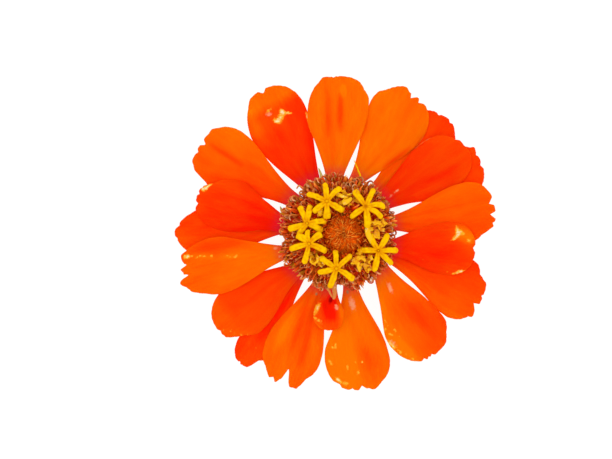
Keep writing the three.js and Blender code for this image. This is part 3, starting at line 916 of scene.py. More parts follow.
RAY_LOOKS = (
    RayLook(
        0.85, 0.8, -0.15, swell=(0.35, -0.1), shoulder=(0.0, 0.3), pleat=0.1,
        nicks=(Nick(10, 0.3, 5, 4), Nick(2, 0.15, 3, 3), Nick(30, -0.35, 14, 14), Nick(-62, 0.4, 18, 16)),
        marks=(
            stain((27.2, -0.2), (20.5, -0.4), 0.55, -0.5),
            stain((28.4, 2.3), (19.6, 2.0), 0.7, -0.3),
            stain((29.0, -0.8), (27.4, -0.8), 0.45, 0.7),
        ),
    ),
    RayLook(
        0.9, 0.8, 0.05, claw=(-0.5, 0.5), lift=(-0.2, 0.0),
        nicks=(
            Nick(-5, 0.95, 9, 4), Nick(-23, 0.85, 10, 4), Nick(12, -0.75, 12, 26), Nick(52, 0.35, 16, 16),
        ),
        # Ray 2: the redder streaks along its right edge paint the shade of the valley where it meets rays 3
        # and 4.
        marks=(stain((16.0, -2.3), (21.5, -4.9), 0.45, -0.5), stain((22.5, -5.4), (25.5, -6.6), 0.6, -0.15)),
    ),
    RayLook(
        0.7, 0.25, 0.1, swell=(0.0, 0.3), claw=(-0.6, 0.6), lift=(0.55, 0.15),
        nicks=(Nick(-11, 0.35, 6, 6), Nick(20, 0.3, 5, 5), Nick(-8, -0.5, 40, 30)),
    ),
    RayLook(
        0.15, 0.4, lift=(0.0, -0.65), nicks=(Nick(30, 0.6, 40, 40),),
        marks=(
            glint((14.9, 0.3), (13.9, 0.2)), glint((13.3, 0.2), (12.7, 0.1)),
            stain((16.0, -1.2), (27.0, -2.2), 0.7, -0.2),
        ),
    ),
    RayLook(
        0.25, 0.35,
        nicks=(Nick(-15, 0.4, 7, 7), Nick(41, 0.8, 20, 16), Nick(8, 0.35, 4, 4), Nick(22, -0.4, 10, 10)),
    ),
    RayLook(
        0.55, 0.6, 0.2,
        nicks=(Nick(14, 1.0, 6, 10), Nick(-10, 1.1, 8, 6), Nick(-28, 0.5, 6, 5), Nick(-58, 1.2, 30, 25)),
        marks=(glint((12.2, -0.5), (11.6, -0.5)),),
    ),
    RayLook(
        0.22, 0.4, 0.1, claw=(0.6, -0.6), nicks=(Nick(9, 0.5, 10, 8),),
        marks=(
            scar((23.3, 4.6), (23.9, 2.8), 0.42, 0.78),
            scar((23.9, 2.7), (22.9, 1.6), 0.42, 0.85),
            scar((24.5, 3.4), (24.8, 3.2), 0.5, 0.7),
            scar((26.1, 2.0), (26.4, 1.9), 0.4, 0.72),
            stain((24.4, 3.3), (26.2, 2.5), 1.1, 0.6),
            stain((15.0, -0.6), (24.0, -1.2), 2.6, -0.25),
            scar((25.4, -4.4), (26.3, -3.9), 0.32, 0.72),
            *flecks((23.0, -5.0), (25.0, -4.6), 4, 0.62),
            scar((17.5, -3.0), (17.8, -3.1), 0.25, 0.4),
            glint((11.9, -1.2), (11.2, -1.2)),
        ),
    ),
    RayLook(
        0.3, 0.5, -0.5, claw=(-0.3, 0.3),
        nicks=(Nick(4, 0.5, 4, 4), Nick(-16, 1.3, 12, 4), Nick(-38, -0.6, 8, 12), Nick(50, 1.1, 20, 20)),
    ),
    RayLook(
        0.85, 0.6, -0.3, swell=(-0.2, 0.0), shoulder=(0.45, 0.0), claw=(-0.4, 0.4),
        nicks=(Nick(-6, 0.55, 6, 4), Nick(-14, 0.4, 4, 3), Nick(-25, 0.55, 5, 4), Nick(55, 0.5, 22, 20)),
        marks=(
            glint((14.4, 1.4), (16.3, 0.9), 0.4, 1.0),
            *flecks((19.2, -3.9), (23.4, -3.4), 6, 0.55),
            *flecks((20.4, -5.0), (22.8, -4.7), 4, 0.6),
            scar((23.0, -5.9), (25.6, -5.6), 0.5, 0.85),
            glint((23.6, -5.4), (24.8, -5.2), 0.45, 0.7),
            *flecks((25.8, -5.5), (28.6, -4.6), 4, 0.58),
            stain((22.0, -5.6), (29.6, -4.2), 0.9, 0.6),
            stain((20.0, 1.5), (27.0, 3.0), 2.0, -0.3),
        ),
    ),
    RayLook(
        0.9, 0.85, -0.1, swell=(-0.45, 0.35), shoulder=(0.15, 0.2), claw=(-0.1, 0.2),
        nicks=(Nick(1, 0.8, 6, 8), Nick(-18, 0.3, 6, 5), Nick(-46, 0.4, 12, 8), Nick(20, -0.55, 9, 24)),
        marks=(
            dry((12.1, 0.2), (12.2, 0.2), 0.32, 1.1),
            glint((13.4, 0.5), (15.9, 0.9), 0.55, 1.0),
            stain((20.0, -3.0), (30.0, -3.5), 2.2, 0.35),
            scar((22.6, -4.8), (22.8, -3.6), 0.32, 0.7),
            scar((22.0, -3.8), (22.2, -3.8), 0.25, 0.6),
            scar((25.2, -5.5), (25.8, -5.2), 0.38, 0.68),
            scar((26.2, -2.0), (27.8, -2.3), 0.38, 0.62),
            scar((26.1, -0.4), (26.3, -0.4), 0.28, 0.6),
            scar((26.3, 0.9), (26.5, 0.9), 0.25, 0.65),
            scar((27.7, -0.1), (28.9, -0.3), 0.4, 0.62),
            scar((28.6, -4.8), (29.6, -4.1), 0.4, 1.0),
            scar((29.9, -3.6), (30.4, -2.5), 0.5, 0.75),
            stain((23.0, 2.4), (28.5, 2.8), 1.8, -0.25),
        ),
    ),
    RayLook(
        0.45, 0.75, swell=(0.0, -0.45), pleat=0.03,
        marks=(
            # Ray 11: the first four stains paint the shade of its cupped middle in deep red.
            stain((12.9, 0.2), (14.2, 0.1), 0.4, -1.6),
            stain((13.6, 0.9), (14.6, 1.3), 0.25, -0.9),
            stain((14.2, -1.0), (15.8, -0.5), 0.55, -0.7),
            stain((14.8, 0.2), (18.2, 1.0), 1.5, -0.75),
            stain((14.0, 2.2), (17.0, 2.8), 0.7, 0.5),
            scar((14.2, -1.9), (17.0, -3.0), 0.55, 0.78),
            scar((17.6, -2.7), (18.3, -1.0), 0.42, 0.66),
            glint((14.7, 1.4), (15.2, 1.6), 0.35, 0.9),
        ),
    ),
    RayLook(
        0.65, 0.75, swell=(0.0, -0.2), pleat=0.16,
        nicks=(
            Nick(-6, 1.1, 5, 8), Nick(3, 0.8, 6, 2.5), Nick(9.5, -1.4, 4.5, 6), Nick(-22, 0.7, 6, 8),
            Nick(-50, 0.45, 16, 22), Nick(31, -0.35, 8, 8), Nick(54, 0.8, 14, 26),
        ),
        marks=(
            stain((17.5, 1.1), (27.0, 2.4), 0.6, -0.28),
            stain((16.5, -0.4), (26.0, -0.6), 0.6, -0.22),
            stain((18.0, -2.6), (26.0, -3.4), 1.0, 0.25),
            dry((13.0, 0.4), (13.1, 0.4), 0.25, 1.0),
        ),
    ),
    RayLook(
        0.2, 0.4, 0.3, shoulder=(-0.35, 0.0), claw=(-0.6, 0.6),
        nicks=(Nick(50, 1.4, 30, 25), Nick(-10, 0.3, 5, 5)),
        marks=(scar((28.1, 0.6), (28.4, 0.6), 0.2, 0.5), stain((14.0, 0.0), (26.0, 0.0), 0.8, -0.3)),
    ),
    RayLook(
        0.3, 0.45, 0.25, tip=0.6, swell=(-0.3, 0.0), claw=(-0.7, 0.7),
        nicks=(Nick(58, 1.4, 35, 25), Nick(5, 0.3, 6, 6)),
        marks=flecks((29.6, 0.8), (26.8, 4.4), 5, 0.5),
    ),
    RayLook(
        0.9, 0.65, swell=(-0.4, 0.0), claw=(-0.5, 0.3),
        nicks=(
            Nick(-26, 0.85, 10, 5), Nick(-42, -0.35, 14, 8), Nick(-4, 0.7, 9, 3), Nick(13, -0.7, 7, 18),
            Nick(64, 0.8, 22, 24),
        ),
        marks=(
            scar((30.5, -3.4), (29.9, -3.3), 0.45, 0.95),
            stain((29.0, -3.2), (25.5, -2.3), 0.45, 0.25),
            stain((23.5, -1.5), (20.5, -0.8), 0.4, 0.25),
            *flecks((28.8, -3.2), (24.1, -1.8), 7, 0.58),
            *flecks((22.0, -1.2), (20.3, -0.7), 4, 0.6),
            stain((18.0, -3.4), (28.0, -4.4), 1.4, -0.35),
            glint((12.5, -0.2), (12.9, -0.2)),
            glint((12.0, 1.6), (12.4, 1.6)),
        ),
    ),
    RayLook(
        0.2, 0.45, 0.4, swell=(0.0, -0.5), claw=(0.3, -0.3),
        nicks=(Nick(-16, 0.3, 6, 6), Nick(12, 0.25, 5, 5)),
    ),
    RayLook(
        0.0, 0.35, -0.2, swell=(-0.5, 0.0), shoulder=(0.3, 0.0), claw=(-0.7, 0.7),
        nicks=(Nick(14, 0.5, 6, 8), Nick(-10, 0.35, 4, 5), Nick(-26, 0.3, 5, 5), Nick(-52, 1.1, 30, 25)),
        marks=(scar((28.0, -1.9), (27.5, -2.3), 0.45, 1.0), scar((27.3, -2.6), (26.3, -3.6), 0.22, 0.8)),
    ),
    RayLook(
        0.4, 0.75, -0.35, swell=(-0.15, -0.5),
        nicks=(
            Nick(16, 0.35, 5, 5), Nick(74, 1.1, 20, 18), Nick(-34, -0.35, 16, 16), Nick(34, -0.3, 14, 14),
        ),
        marks=(
            stain((30.5, -0.9), (23.4, -0.8), 0.4, -0.35),
            stain((20.0, 3.0), (27.0, 4.0), 0.5, -0.2),
            stain((17.0, 2.2), (22.0, 3.0), 1.2, -0.3),
        ),
    ),
    RayLook(
        0.12, 0.3, tip=0.8, swell=(0.0, 1.15), shoulder=(0.0, 1.15),
        nicks=(Nick(76, 1.3, 30, 14), Nick(46, 0.55, 14, 16)),
        marks=(
            scar((27.1, -1.1), (26.1, -1.0), 0.4, 0.78),
            scar((26.1, -0.9), (25.0, 0.3), 0.65, 0.84),
            scar((25.8, 1.2), (24.8, 0.4), 0.42, 0.78),
            scar((26.1, -1.3), (25.2, -2.9), 0.3, 0.78),
            scar((28.0, 0.5), (27.7, 2.0), 0.32, 0.74),
            glint((27.2, 2.0), (27.1, 1.0), 0.35, 1.0),
            scar((24.3, -5.4), (22.1, -4.8), 0.3, 0.9),
            scar((21.9, -4.7), (20.1, -4.4), 0.16, 0.8),
            stain((23.5, 5.6), (28.5, 4.8), 1.6, 0.5),
            stain((25.5, 2.5), (27.0, -1.0), 1.6, 0.3),
        ),
    ),
)


@dataclass(frozen=True)
class RaySurvey:
    """A CAD ray as measured: its bearing, its two edges and its tip in its own frame, and its height.

    The edges run from the claw to the shoulder, and the tip from the right shoulder to the left one.
    """

    bearing: float
    right: np.ndarray
    left: np.ndarray
    tip: np.ndarray
    height: np.ndarray

    THICKNESS = 0.4  # of a CAD ray
    THICKNESS_SLACK = 0.002
    EDGE_STEPS = 7  # of a CAD ray, from claw to shoulder
    ROOT_DEPTH = 0.75  # every point of a claw's end lies within this of the nearest one to the axis
    CLAW_DEPTH = 0.25  # and within this of it once the ray lies along its own x
    TOP_FACING = 0.7  # the least upward normal of a top face

    @classmethod
    def of(cls, node: str) -> "RaySurvey":
        """Measures a CAD node.

        Args:
            node: The ray's name.

        Returns:
            The survey.
        """
        copy = merged_copy(node)
        out = cls.way_out(np.array([vert.co[:] for vert in copy.verts]))
        turn = np.array([[out[0], out[1]], [-out[1], out[0]]])
        outline = cls.from_the_claw(np.array([vert.co[:2] for vert in cls.brink(copy)]) @ turn.T)
        right = outline[: cls.EDGE_STEPS + 1]
        left = outline[-1 : -cls.EDGE_STEPS - 2 : -1]
        tip = outline[cls.EDGE_STEPS : len(outline) - cls.EDGE_STEPS]

        top = [face for face in copy.faces if face.normal.z > cls.TOP_FACING]
        tops = np.array([vert.co[:] for vert in {vert for face in top for vert in face.verts}])
        flat = tops[:, :2] @ turn.T
        lane = (smooth_curve(*right.T, flat[:, 0]) + smooth_curve(*left.T, flat[:, 0])) / 2.0
        terms = cls.height_terms(flat[:, 0], flat[:, 1] - lane)
        height = np.linalg.lstsq(terms, tops[:, 2], rcond=None)[0]
        copy.free()
        return cls(math.atan2(out[1], out[0]), right, left, tip, height)

    @classmethod
    def way_out(cls, places: np.ndarray) -> np.ndarray:
        """Finds which way a ray points.

        Args:
            places: The places of its corners.

        Returns:
            The direction square to the end of its claw, away from the head's axis.
        """
        radii = np.hypot(places[:, 0], places[:, 1])
        root = places[radii < radii.min() + cls.ROOT_DEPTH, :2]
        spread = np.linalg.eigh(np.cov(root.T))[1][:, 1]
        out = np.array([spread[1], -spread[0]])
        return out * math.copysign(1.0, float(out @ root.mean(axis=0)))

    @classmethod
    def brink(cls, copy: bmesh.types.BMesh) -> list[bmesh.types.BMVert]:
        """Finds the upper brink of a ray's thin side walls.

        Args:
            copy: The ray.

        Returns:
            The brink's corners, in order round the ray.
        """
        pins = [edge for edge in copy.edges if abs(edge.calc_length() - cls.THICKNESS) < cls.THICKNESS_SLACK]
        walls = {face for pin in pins for face in pin.link_faces}
        tops = {max(pin.verts, key=lambda vert: vert.co.z) for pin in pins}
        links: dict[bmesh.types.BMVert, list[bmesh.types.BMVert]] = {}
        for edge in copy.edges:
            a, b = edge.verts
            if not tops.issuperset((a, b)) or walls.isdisjoint(edge.link_faces):
                continue
            links.setdefault(a, []).append(b)
            links.setdefault(b, []).append(a)
        start = next(iter(links))
        loop = [start, links[start][0]]
        while loop[-1] is not start:
            here, before = loop[-1], loop[-2]
            loop.append(links[here][1] if links[here][0] is before else links[here][0])
        return loop[:-1]

    @classmethod
    def from_the_claw(cls, outline: np.ndarray) -> np.ndarray:
        """Sorts an outline.

        Args:
            outline: The places round a ray, in its own frame.

        Returns:
            The same places, out along the right edge, round the tip and back, without the claw's end.
        """
        ahead = np.roll(outline, -1, axis=0)
        if np.sum(outline[:, 0] * ahead[:, 1] - outline[:, 1] * ahead[:, 0]) < 0.0:
            outline = outline[::-1]
        near = outline[:, 0].min() + cls.CLAW_DEPTH
        claw_end = np.flatnonzero(outline[:, 0] < near)
        outline = np.roll(outline, -claw_end[np.argmin(outline[claw_end, 1])], axis=0)
        claw_end = np.flatnonzero(outline[:, 0] < near)
        return outline[: claw_end[np.argmax(outline[claw_end, 1])] + 1]

    @staticmethod
    def height_terms(x: np.ndarray, off: np.ndarray) -> np.ndarray:
        """Returns the terms of the height: a cubic outwards and a square across."""
        return np.stack([np.ones_like(x), x, x**2, x**3, off**2], axis=-1)

    def edges_at(self, x: np.ndarray) -> tuple[np.ndarray, np.ndarray]:
        """Returns the places of the right and the left edge at each distance out."""
        return smooth_curve(*self.right.T, x), smooth_curve(*self.left.T, x)

    def reach_at(self, angle: np.ndarray) -> np.ndarray:
        """Reads how far the tip reaches.

        Args:
            angle: Where round the tip to read it, in radians, right -90 to left 90 degrees.

        Returns:
            How far out the tip is there.
        """
        side = np.where(self.tip[:, 1] < 0.0, abs(self.tip[0, 1]), abs(self.tip[-1, 1]))
        known = np.arcsin(np.clip(self.tip[:, 1] / side, -1.0, 1.0))
        known[0], known[-1] = -math.pi / 2.0, math.pi / 2.0
        return smooth_curve(known, self.tip[:, 0], angle)


@dataclass
class Ray:
    """One ray floret, laid on the survey of its CAD node.

    In its methods share is how far along the ray a point is, claw 0 to tip 1, and vein how far across,
    right -1 to left 1.
    """

    number: int
    look: RayLook
    rows: int = 78
    columns: int = 96
    row_crowding: float = 0.92  # below 1 the rows crowd towards the tip
    thickness: float = 0.3
    rim_thickness: float = 0.07
    rim_width: float = 0.55
    sink: float = 0.2  # of the middle surface under the CAD ray's top
    grooves: float = 3.0
    waver_height: float = 0.16
    waver_size: float = 7.0
    ripple_height: float = 0.1
    ripple_rate: float = 0.9
    fringe: float = 0.09
    fringe_size: float = 5.0  # in degrees round the tip
    droop: float = 0.22
    claw_length: float = 5.6
    claw_plain: float = 4.0  # how far out the warmth stays as it is near the claw
    crown: float = 5.0  # how far from the end the tip's own warmth starts

    BULGE_END = 0.85  # shares along the ray
    BULGE_POWER = 1.3
    CLAW_END = 0.45
    SHOULDER = 0.88
    SHOULDER_SPREAD = 0.22
    BITE_POWER = 14  # a bite at the tip fades this fast with the share along

    @property
    def node(self) -> str:
        """The name of the CAD node."""
        return f"ray_{self.number:02d}"

    def grid(self) -> tuple[np.ndarray, np.ndarray, np.ndarray, np.ndarray, RaySurvey]:
        """Lays the middle surface out flat.

        Returns:
            The places outwards and to the left, the share and the vein of each point, and the survey.
        """
        survey = RaySurvey.of(self.node)
        angle = np.linspace(-math.pi / 2.0, math.pi / 2.0, self.columns)
        vein = np.sin(angle)
        share = np.linspace(0.0, 1.0, self.rows)[:, None] ** self.row_crowding
        root = survey.right[0, 0]
        x = root + (survey.reach_at(angle)[None, :] - root) * share
        bulge = np.sin(math.pi * np.clip(share / self.BULGE_END, 0.0, 1.0) ** self.BULGE_POWER)
        low = np.clip(1.0 - share / self.CLAW_END, 0.0, 1.0)
        low = low**2 * (3.0 - 2.0 * low)
        high = np.exp(-(((share - self.SHOULDER) / self.SHOULDER_SPREAD) ** 2))
        look = self.look
        right, left = survey.edges_at(x)
        right = right - look.swell[0] * bulge - look.claw[0] * low - look.shoulder[0] * high
        left = left + look.swell[1] * bulge + look.claw[1] * low + look.shoulder[1] * high
        y = right + (left - right) * (vein + 1.0) / 2.0

        degrees = np.degrees(angle)
        bite = sum((nick.bite(degrees) for nick in look.nicks), np.zeros_like(angle))
        seed = 3.7 * self.number
        small = np.array([noise.noise(Vector((d / self.fringe_size, seed, 0.0))) for d in degrees])
        bite = (bite + self.fringe * (1.0 + small)) * share**self.BITE_POWER
        return x - bite * np.cos(angle), y - bite * np.sin(angle), share, vein, survey

    def surface(self) -> Surface:
        """Shapes the ray.

        Returns:
            A thin closed sheet in place, with the ray's numbers.
        """
        x, y, share, vein, survey = self.grid()
        right, left = survey.edges_at(x)
        z = survey.height_terms(x, y - (right + left) / 2.0) @ survey.height - self.sink
        flat = np.stack([x, y, np.zeros_like(x)], axis=-1)
        body = np.clip(share * 3.0, 0.0, 1.0) * np.clip((1.0 - share) * 6.0, 0.0, 1.0)
        z += self.look.pleat * np.cos(math.pi * self.grooves * vein) * body * (1.0 - vein**4)
        wave = waver(flat, self.waver_size, 5.3 * self.number)
        z += self.waver_height * wave * np.clip(share * 2.0, 0.0, 1.0)
        z -= self.droop * (vein**6 + share**10)
        for lift, side in zip(self.look.lift, (-vein, vein)):
            z += lift * np.clip(side, 0.0, 1.0) ** 1.5 * body
        phase = 1.7 * self.number + 2.0 * np.sign(vein)
        z += self.ripple_height * np.abs(vein) ** 3 * np.sin(self.ripple_rate * x + phase) * body

        inside = np.minimum((1.0 - np.abs(vein)) * (left - right) / 2.0, (1.0 - share) * (x[-1] - x[0]))
        rim = np.clip(inside / self.rim_width, 0.0, 1.0)
        thickness = self.rim_thickness + (self.thickness - self.rim_thickness) * np.sqrt(rim * (2.0 - rim))
        cos, sin = math.cos(survey.bearing), math.sin(survey.bearing)
        middle = np.stack([x * cos - y * sin, x * sin + y * cos, z], axis=-1)
        made = sheet(middle, thickness, self.numbers(x, y, vein, survey))
        across = np.broadcast_to(vein / 2.0 + 0.5, x.shape)
        along = (x - x.min()) / (x.max() - x.min()) + self.number
        made.veins = np.tile(np.stack([across, along], axis=-1).reshape(-1, 2), (2, 1))
        return made

    def numbers(
        self, x: np.ndarray, y: np.ndarray, vein: np.ndarray, survey: RaySurvey
    ) -> dict[str, np.ndarray]:
        """Works out the numbers that colour the ray.

        Args:
            x: How far out each point is.
            y: How far to the left it is.
            vein: How far across it is.
            survey: The ray's survey.

        Returns:
            The warmth, the flush of the claw and each kind of mark.
        """
        look = self.look
        root, end = survey.right[0, 0], survey.tip[:, 0].max()
        start = root + self.claw_plain
        out = np.clip((x - start) / (end - start), 0.0, 1.0)
        warmth = look.near + (look.far - look.near) * out + 0.5 * look.skew * vein
        if look.tip is not None:
            crown = np.clip((x - end + self.crown) / 2.0, 0.0, 1.0)
            warmth = warmth + (look.tip - warmth) * crown
        made = {"claw": np.clip(1.0 - (x - root) / self.claw_length, 0.0, 1.0)}
        for kind in MarkKind:
            made[kind.value] = sum((mark.at(x, y) for mark in look.marks if mark.kind is kind), 0.0 * x)
        made["warmth"] = warmth + made.pop(MarkKind.STAIN.value)
        return made

    def place(self, material: bpy.types.Material, slot: str) -> None:
        """Makes the petal."""
        settle(self.surface().mesh(self.node + "_petal"), material, slot, self.node)


# ---------------------------------------------------------------- small repeated shapes


def spike(
    name: str,
    path: Callable[[float], Place],
    width: Callable[[float], float],
    depth: Callable[[float], float] | None = None,
    steps: int = 5,
    sides: int = 4,
) -> bpy.types.Object:
    """Makes a closed shape to copy: a bent spike that stands up from the origin.

    Args:
        name: The shape's name.
        path: Its middle line as the share along goes from 0 to 1.
        width: Half its width across, along y, at a share along.
        depth: Half its depth, in the plane of its bend, at a share along, the same as width if not given.
        steps: How many rings of faces it has.
        sides: How many sides each ring has.

    Returns:
        An object outside the scene, with the number "reach" from 0 at the root to 1 at the tip.
    """
    depth = depth or width
    near = 0.01  # the share over which the path's direction is taken
    across = Vector((0.0, 1.0, 0.0))
    shares = [i / steps for i in range(steps + 1)]
    points = []
    for share in shares:
        ahead = Vector(path(min(1.0, share + near))) - Vector(path(max(0.0, share - near)))
        outward = ahead.normalized().cross(across).normalized()
        for angle in (TURN * k / sides for k in range(sides)):
            side = Vector(path(share)) + across * (math.cos(angle) * width(share))
            points.append((side + outward * (math.sin(angle) * depth(share)))[:])
    made = tube(np.array(points), sides, {"reach": np.repeat(shares, sides)})
    return bpy.data.objects.new(name, made.mesh(name))


class Planting(Enum):
    """How copies are set out: at random on a surface, or in the spiral of a flower's crown."""

    STREWN = "strewn"
    SPIRAL = "spiral"


@dataclass(frozen=True)
class Tuft:
    """Copies of one small shape, planted on a surface or in a spiral by a node tree.

    lean tilts the copies away from the centre, or towards it below 0, jitter tilts them at random, and
    lift raises them off their surface.
    """

    name: str
    planting: Planting
    centre: Place
    inner: float
    outer: float
    spacing: float = 0.6
    count: int = 100
    dome: float = 0.0
    lean: float = 0.5
    jitter: float = 0.3
    size: float = 1.0
    spread: float = 0.3
    lift: float = 0.0
    seed: int = 1

    SIZE_DRAW = 7.0  # added to the seed for each copy's size
    TONE_DRAW = 19.0  # and for its tone

    def inputs(self) -> dict[str, tuple[str, object]]:
        """Lists the tree's named inputs.

        Returns:
            The kind and the value of each one but the geometry.
        """
        made = {"Centre": ("Vector", [value * MM for value in self.centre])}
        for name in ("inner", "outer", "spacing", "dome", "lift"):
            made[name.title()] = ("Float", getattr(self, name) * MM)
        for kind, names in (("Float", ("lean", "jitter", "size", "spread")), ("Int", ("count", "seed"))):
            made.update({name.title(): (kind, getattr(self, name)) for name in names})
        return made

    def tree(self, shape: bpy.types.Object, material: bpy.types.Material) -> bpy.types.NodeTree:
        """Builds the node tree that plants the copies.

        Args:
            shape: The shape to copy.
            material: The finish that every copy gets.

        Returns:
            The tree.
        """
        group = bpy.data.node_groups.new(self.name, "GeometryNodeTree")
        kinds = {"Geometry": "Geometry", **{name: kind for name, (kind, _) in self.inputs().items()}}
        for name, kind in kinds.items():
            group.interface.new_socket(name, in_out="INPUT", socket_type="NodeSocket" + kind)
        group.interface.new_socket("Geometry", in_out="OUTPUT", socket_type="NodeSocketGeometry")
        graph = Graph(group)
        given = graph.node("NodeGroupInput").outputs
        planted, normal = (self.strewn if self.planting is Planting.STREWN else self.spiral)(graph, given)

        away = graph.vector("NORMALIZE", self.level_away(graph, given))
        stir = graph.node(
            "FunctionNodeRandomValue", {"Seed": given["Seed"], "Min": (-1.0,) * 3}, data_type="FLOAT_VECTOR",
        )
        heading = graph.vector("ADD", normal, graph.scaled(away, given["Lean"]))
        heading = graph.vector("ADD", heading, graph.scaled(stir.outputs[0], given["Jitter"]))
        upright = graph.node("FunctionNodeAlignRotationToVector", {"Vector": heading}, axis="Z")
        facing = graph.node(
            "FunctionNodeAlignRotationToVector", {"Rotation": upright.outputs[0], "Vector": away},
            axis="X", pivot_axis="Z",
        )
        grown = graph.math("MULTIPLY", self.drawn(graph, given, self.SIZE_DRAW, -1.0), given["Spread"])
        source = graph.node("GeometryNodeObjectInfo", {"Object": shape}, transform_space="ORIGINAL")
        copies = graph.node("GeometryNodeInstanceOnPoints", {
            "Points": planted, "Instance": source.outputs["Geometry"], "Rotation": facing.outputs[0],
            "Scale": graph.math("MULTIPLY_ADD", grown, given["Size"], given["Size"]),
        })
        tone = self.drawn(graph, given, self.TONE_DRAW, 0.0)
        toned = graph.node("GeometryNodeStoreNamedAttribute", {
            "Geometry": copies.outputs[0], "Name": "tone", "Value": tone,
        }, data_type="FLOAT", domain="INSTANCE")
        real = graph.node("GeometryNodeRealizeInstances", {"Geometry": toned.outputs[0]})
        dressed = graph.node("GeometryNodeSetMaterial", {"Geometry": real.outputs[0], "Material": material})
        graph.node("NodeGroupOutput", {0: dressed.outputs[0]})
        return group

    @staticmethod
    def level_away(graph: Graph, given: Mapping[str, Socket]) -> Socket:
        """Returns the level part of the way from the centre to each point."""
        away = graph.vector("SUBTRACT", graph.node("GeometryNodeInputPosition").outputs[0], given["Centre"])
        return graph.vector("MULTIPLY", away, LEVEL)

    @staticmethod
    def drawn(graph: Graph, given: Mapping[str, Socket], draw: float, low: float) -> Socket:
        """Returns a random number for each copy, from low to 1, from the seed plus draw."""
        seed = graph.math("ADD", given["Seed"], draw)
        return graph.node("FunctionNodeRandomValue", {"Seed": seed, 2: low, 3: 1.0}).outputs[1]

    def strewn(self, graph: Graph, given: Mapping[str, Socket]) -> tuple[Socket, Socket]:
        """Plants at random between the inner and the outer radius.

        Args:
            graph: The tree under construction.
            given: The tree's inputs.

        Returns:
            The points and the surface's normal at them.
        """
        flat = self.level_away(graph, given)
        radius = graph.node("ShaderNodeVectorMath", {0: flat}, operation="LENGTH").outputs["Value"]
        beyond = graph.math("GREATER_THAN", radius, given["Inner"])
        within = graph.math("LESS_THAN", radius, given["Outer"])
        room = graph.math("MULTIPLY", given["Spacing"], given["Spacing"])
        place = graph.node("GeometryNodeDistributePointsOnFaces", {
            "Mesh": given["Geometry"], "Selection": graph.math("MULTIPLY", beyond, within),
            "Distance Min": given["Spacing"], "Density Max": graph.math("DIVIDE", 2.0, room),
            "Seed": given["Seed"],
        }, distribute_method="POISSON")
        points, normal = place.outputs["Points"], place.outputs["Normal"]
        offset = graph.scaled(normal, given["Lift"])
        lifted = graph.node("GeometryNodeSetPosition", {"Geometry": points, "Offset": offset})
        return lifted.outputs[0], normal

    def spiral(self, graph: Graph, given: Mapping[str, Socket]) -> tuple[Socket, Socket]:
        """Plants in a golden-angle spiral over a low dome.

        Args:
            graph: The tree under construction.
            given: The tree's inputs.

        Returns:
            The points and the way up.
        """
        index = graph.node("GeometryNodeInputIndex").outputs[0]
        share = graph.math("DIVIDE", graph.math("ADD", index, 0.5), given["Count"])
        reach = graph.math("SUBTRACT", given["Outer"], given["Inner"])
        radius = graph.math("MULTIPLY_ADD", graph.math("SQRT", share), reach, given["Inner"])
        angle = graph.math("MULTIPLY", index, GOLDEN_ANGLE)
        place = graph.node("ShaderNodeCombineXYZ", {
            0: graph.math("MULTIPLY", graph.math("COSINE", angle), radius),
            1: graph.math("MULTIPLY", graph.math("SINE", angle), radius),
            2: graph.math("MULTIPLY_ADD", graph.math("SUBTRACT", 1.0, share), given["Dome"], given["Lift"]),
        })
        where = graph.vector("ADD", place.outputs[0], given["Centre"])
        points = graph.node("GeometryNodePoints", {"Count": given["Count"], "Position": where})
        return points.outputs[0], graph.node("ShaderNodeCombineXYZ", {2: 1.0}).outputs[0]

    def grow(
        self, ground: bpy.types.Mesh, shape: bpy.types.Object, material: bpy.types.Material
    ) -> bpy.types.Mesh:
        """Runs the tree.

        Args:
            ground: The mesh to plant on.
            shape: The shape to copy.
            material: The finish of the copies.

        Returns:
            A plain mesh of all the copies.
        """
        bed = stood(self.name + "_bed", ground)
        modifier = bed.modifiers.new("tuft", "NODES")
        modifier.node_group = self.tree(shape, material)
        values = self.inputs()
        for item in modifier.node_group.interface.items_tree:
            if item.name in values:
                modifier[item.identifier] = values[item.name][1]
        return applied(bed, self.name)


# ---------------------------------------------------------------- disc


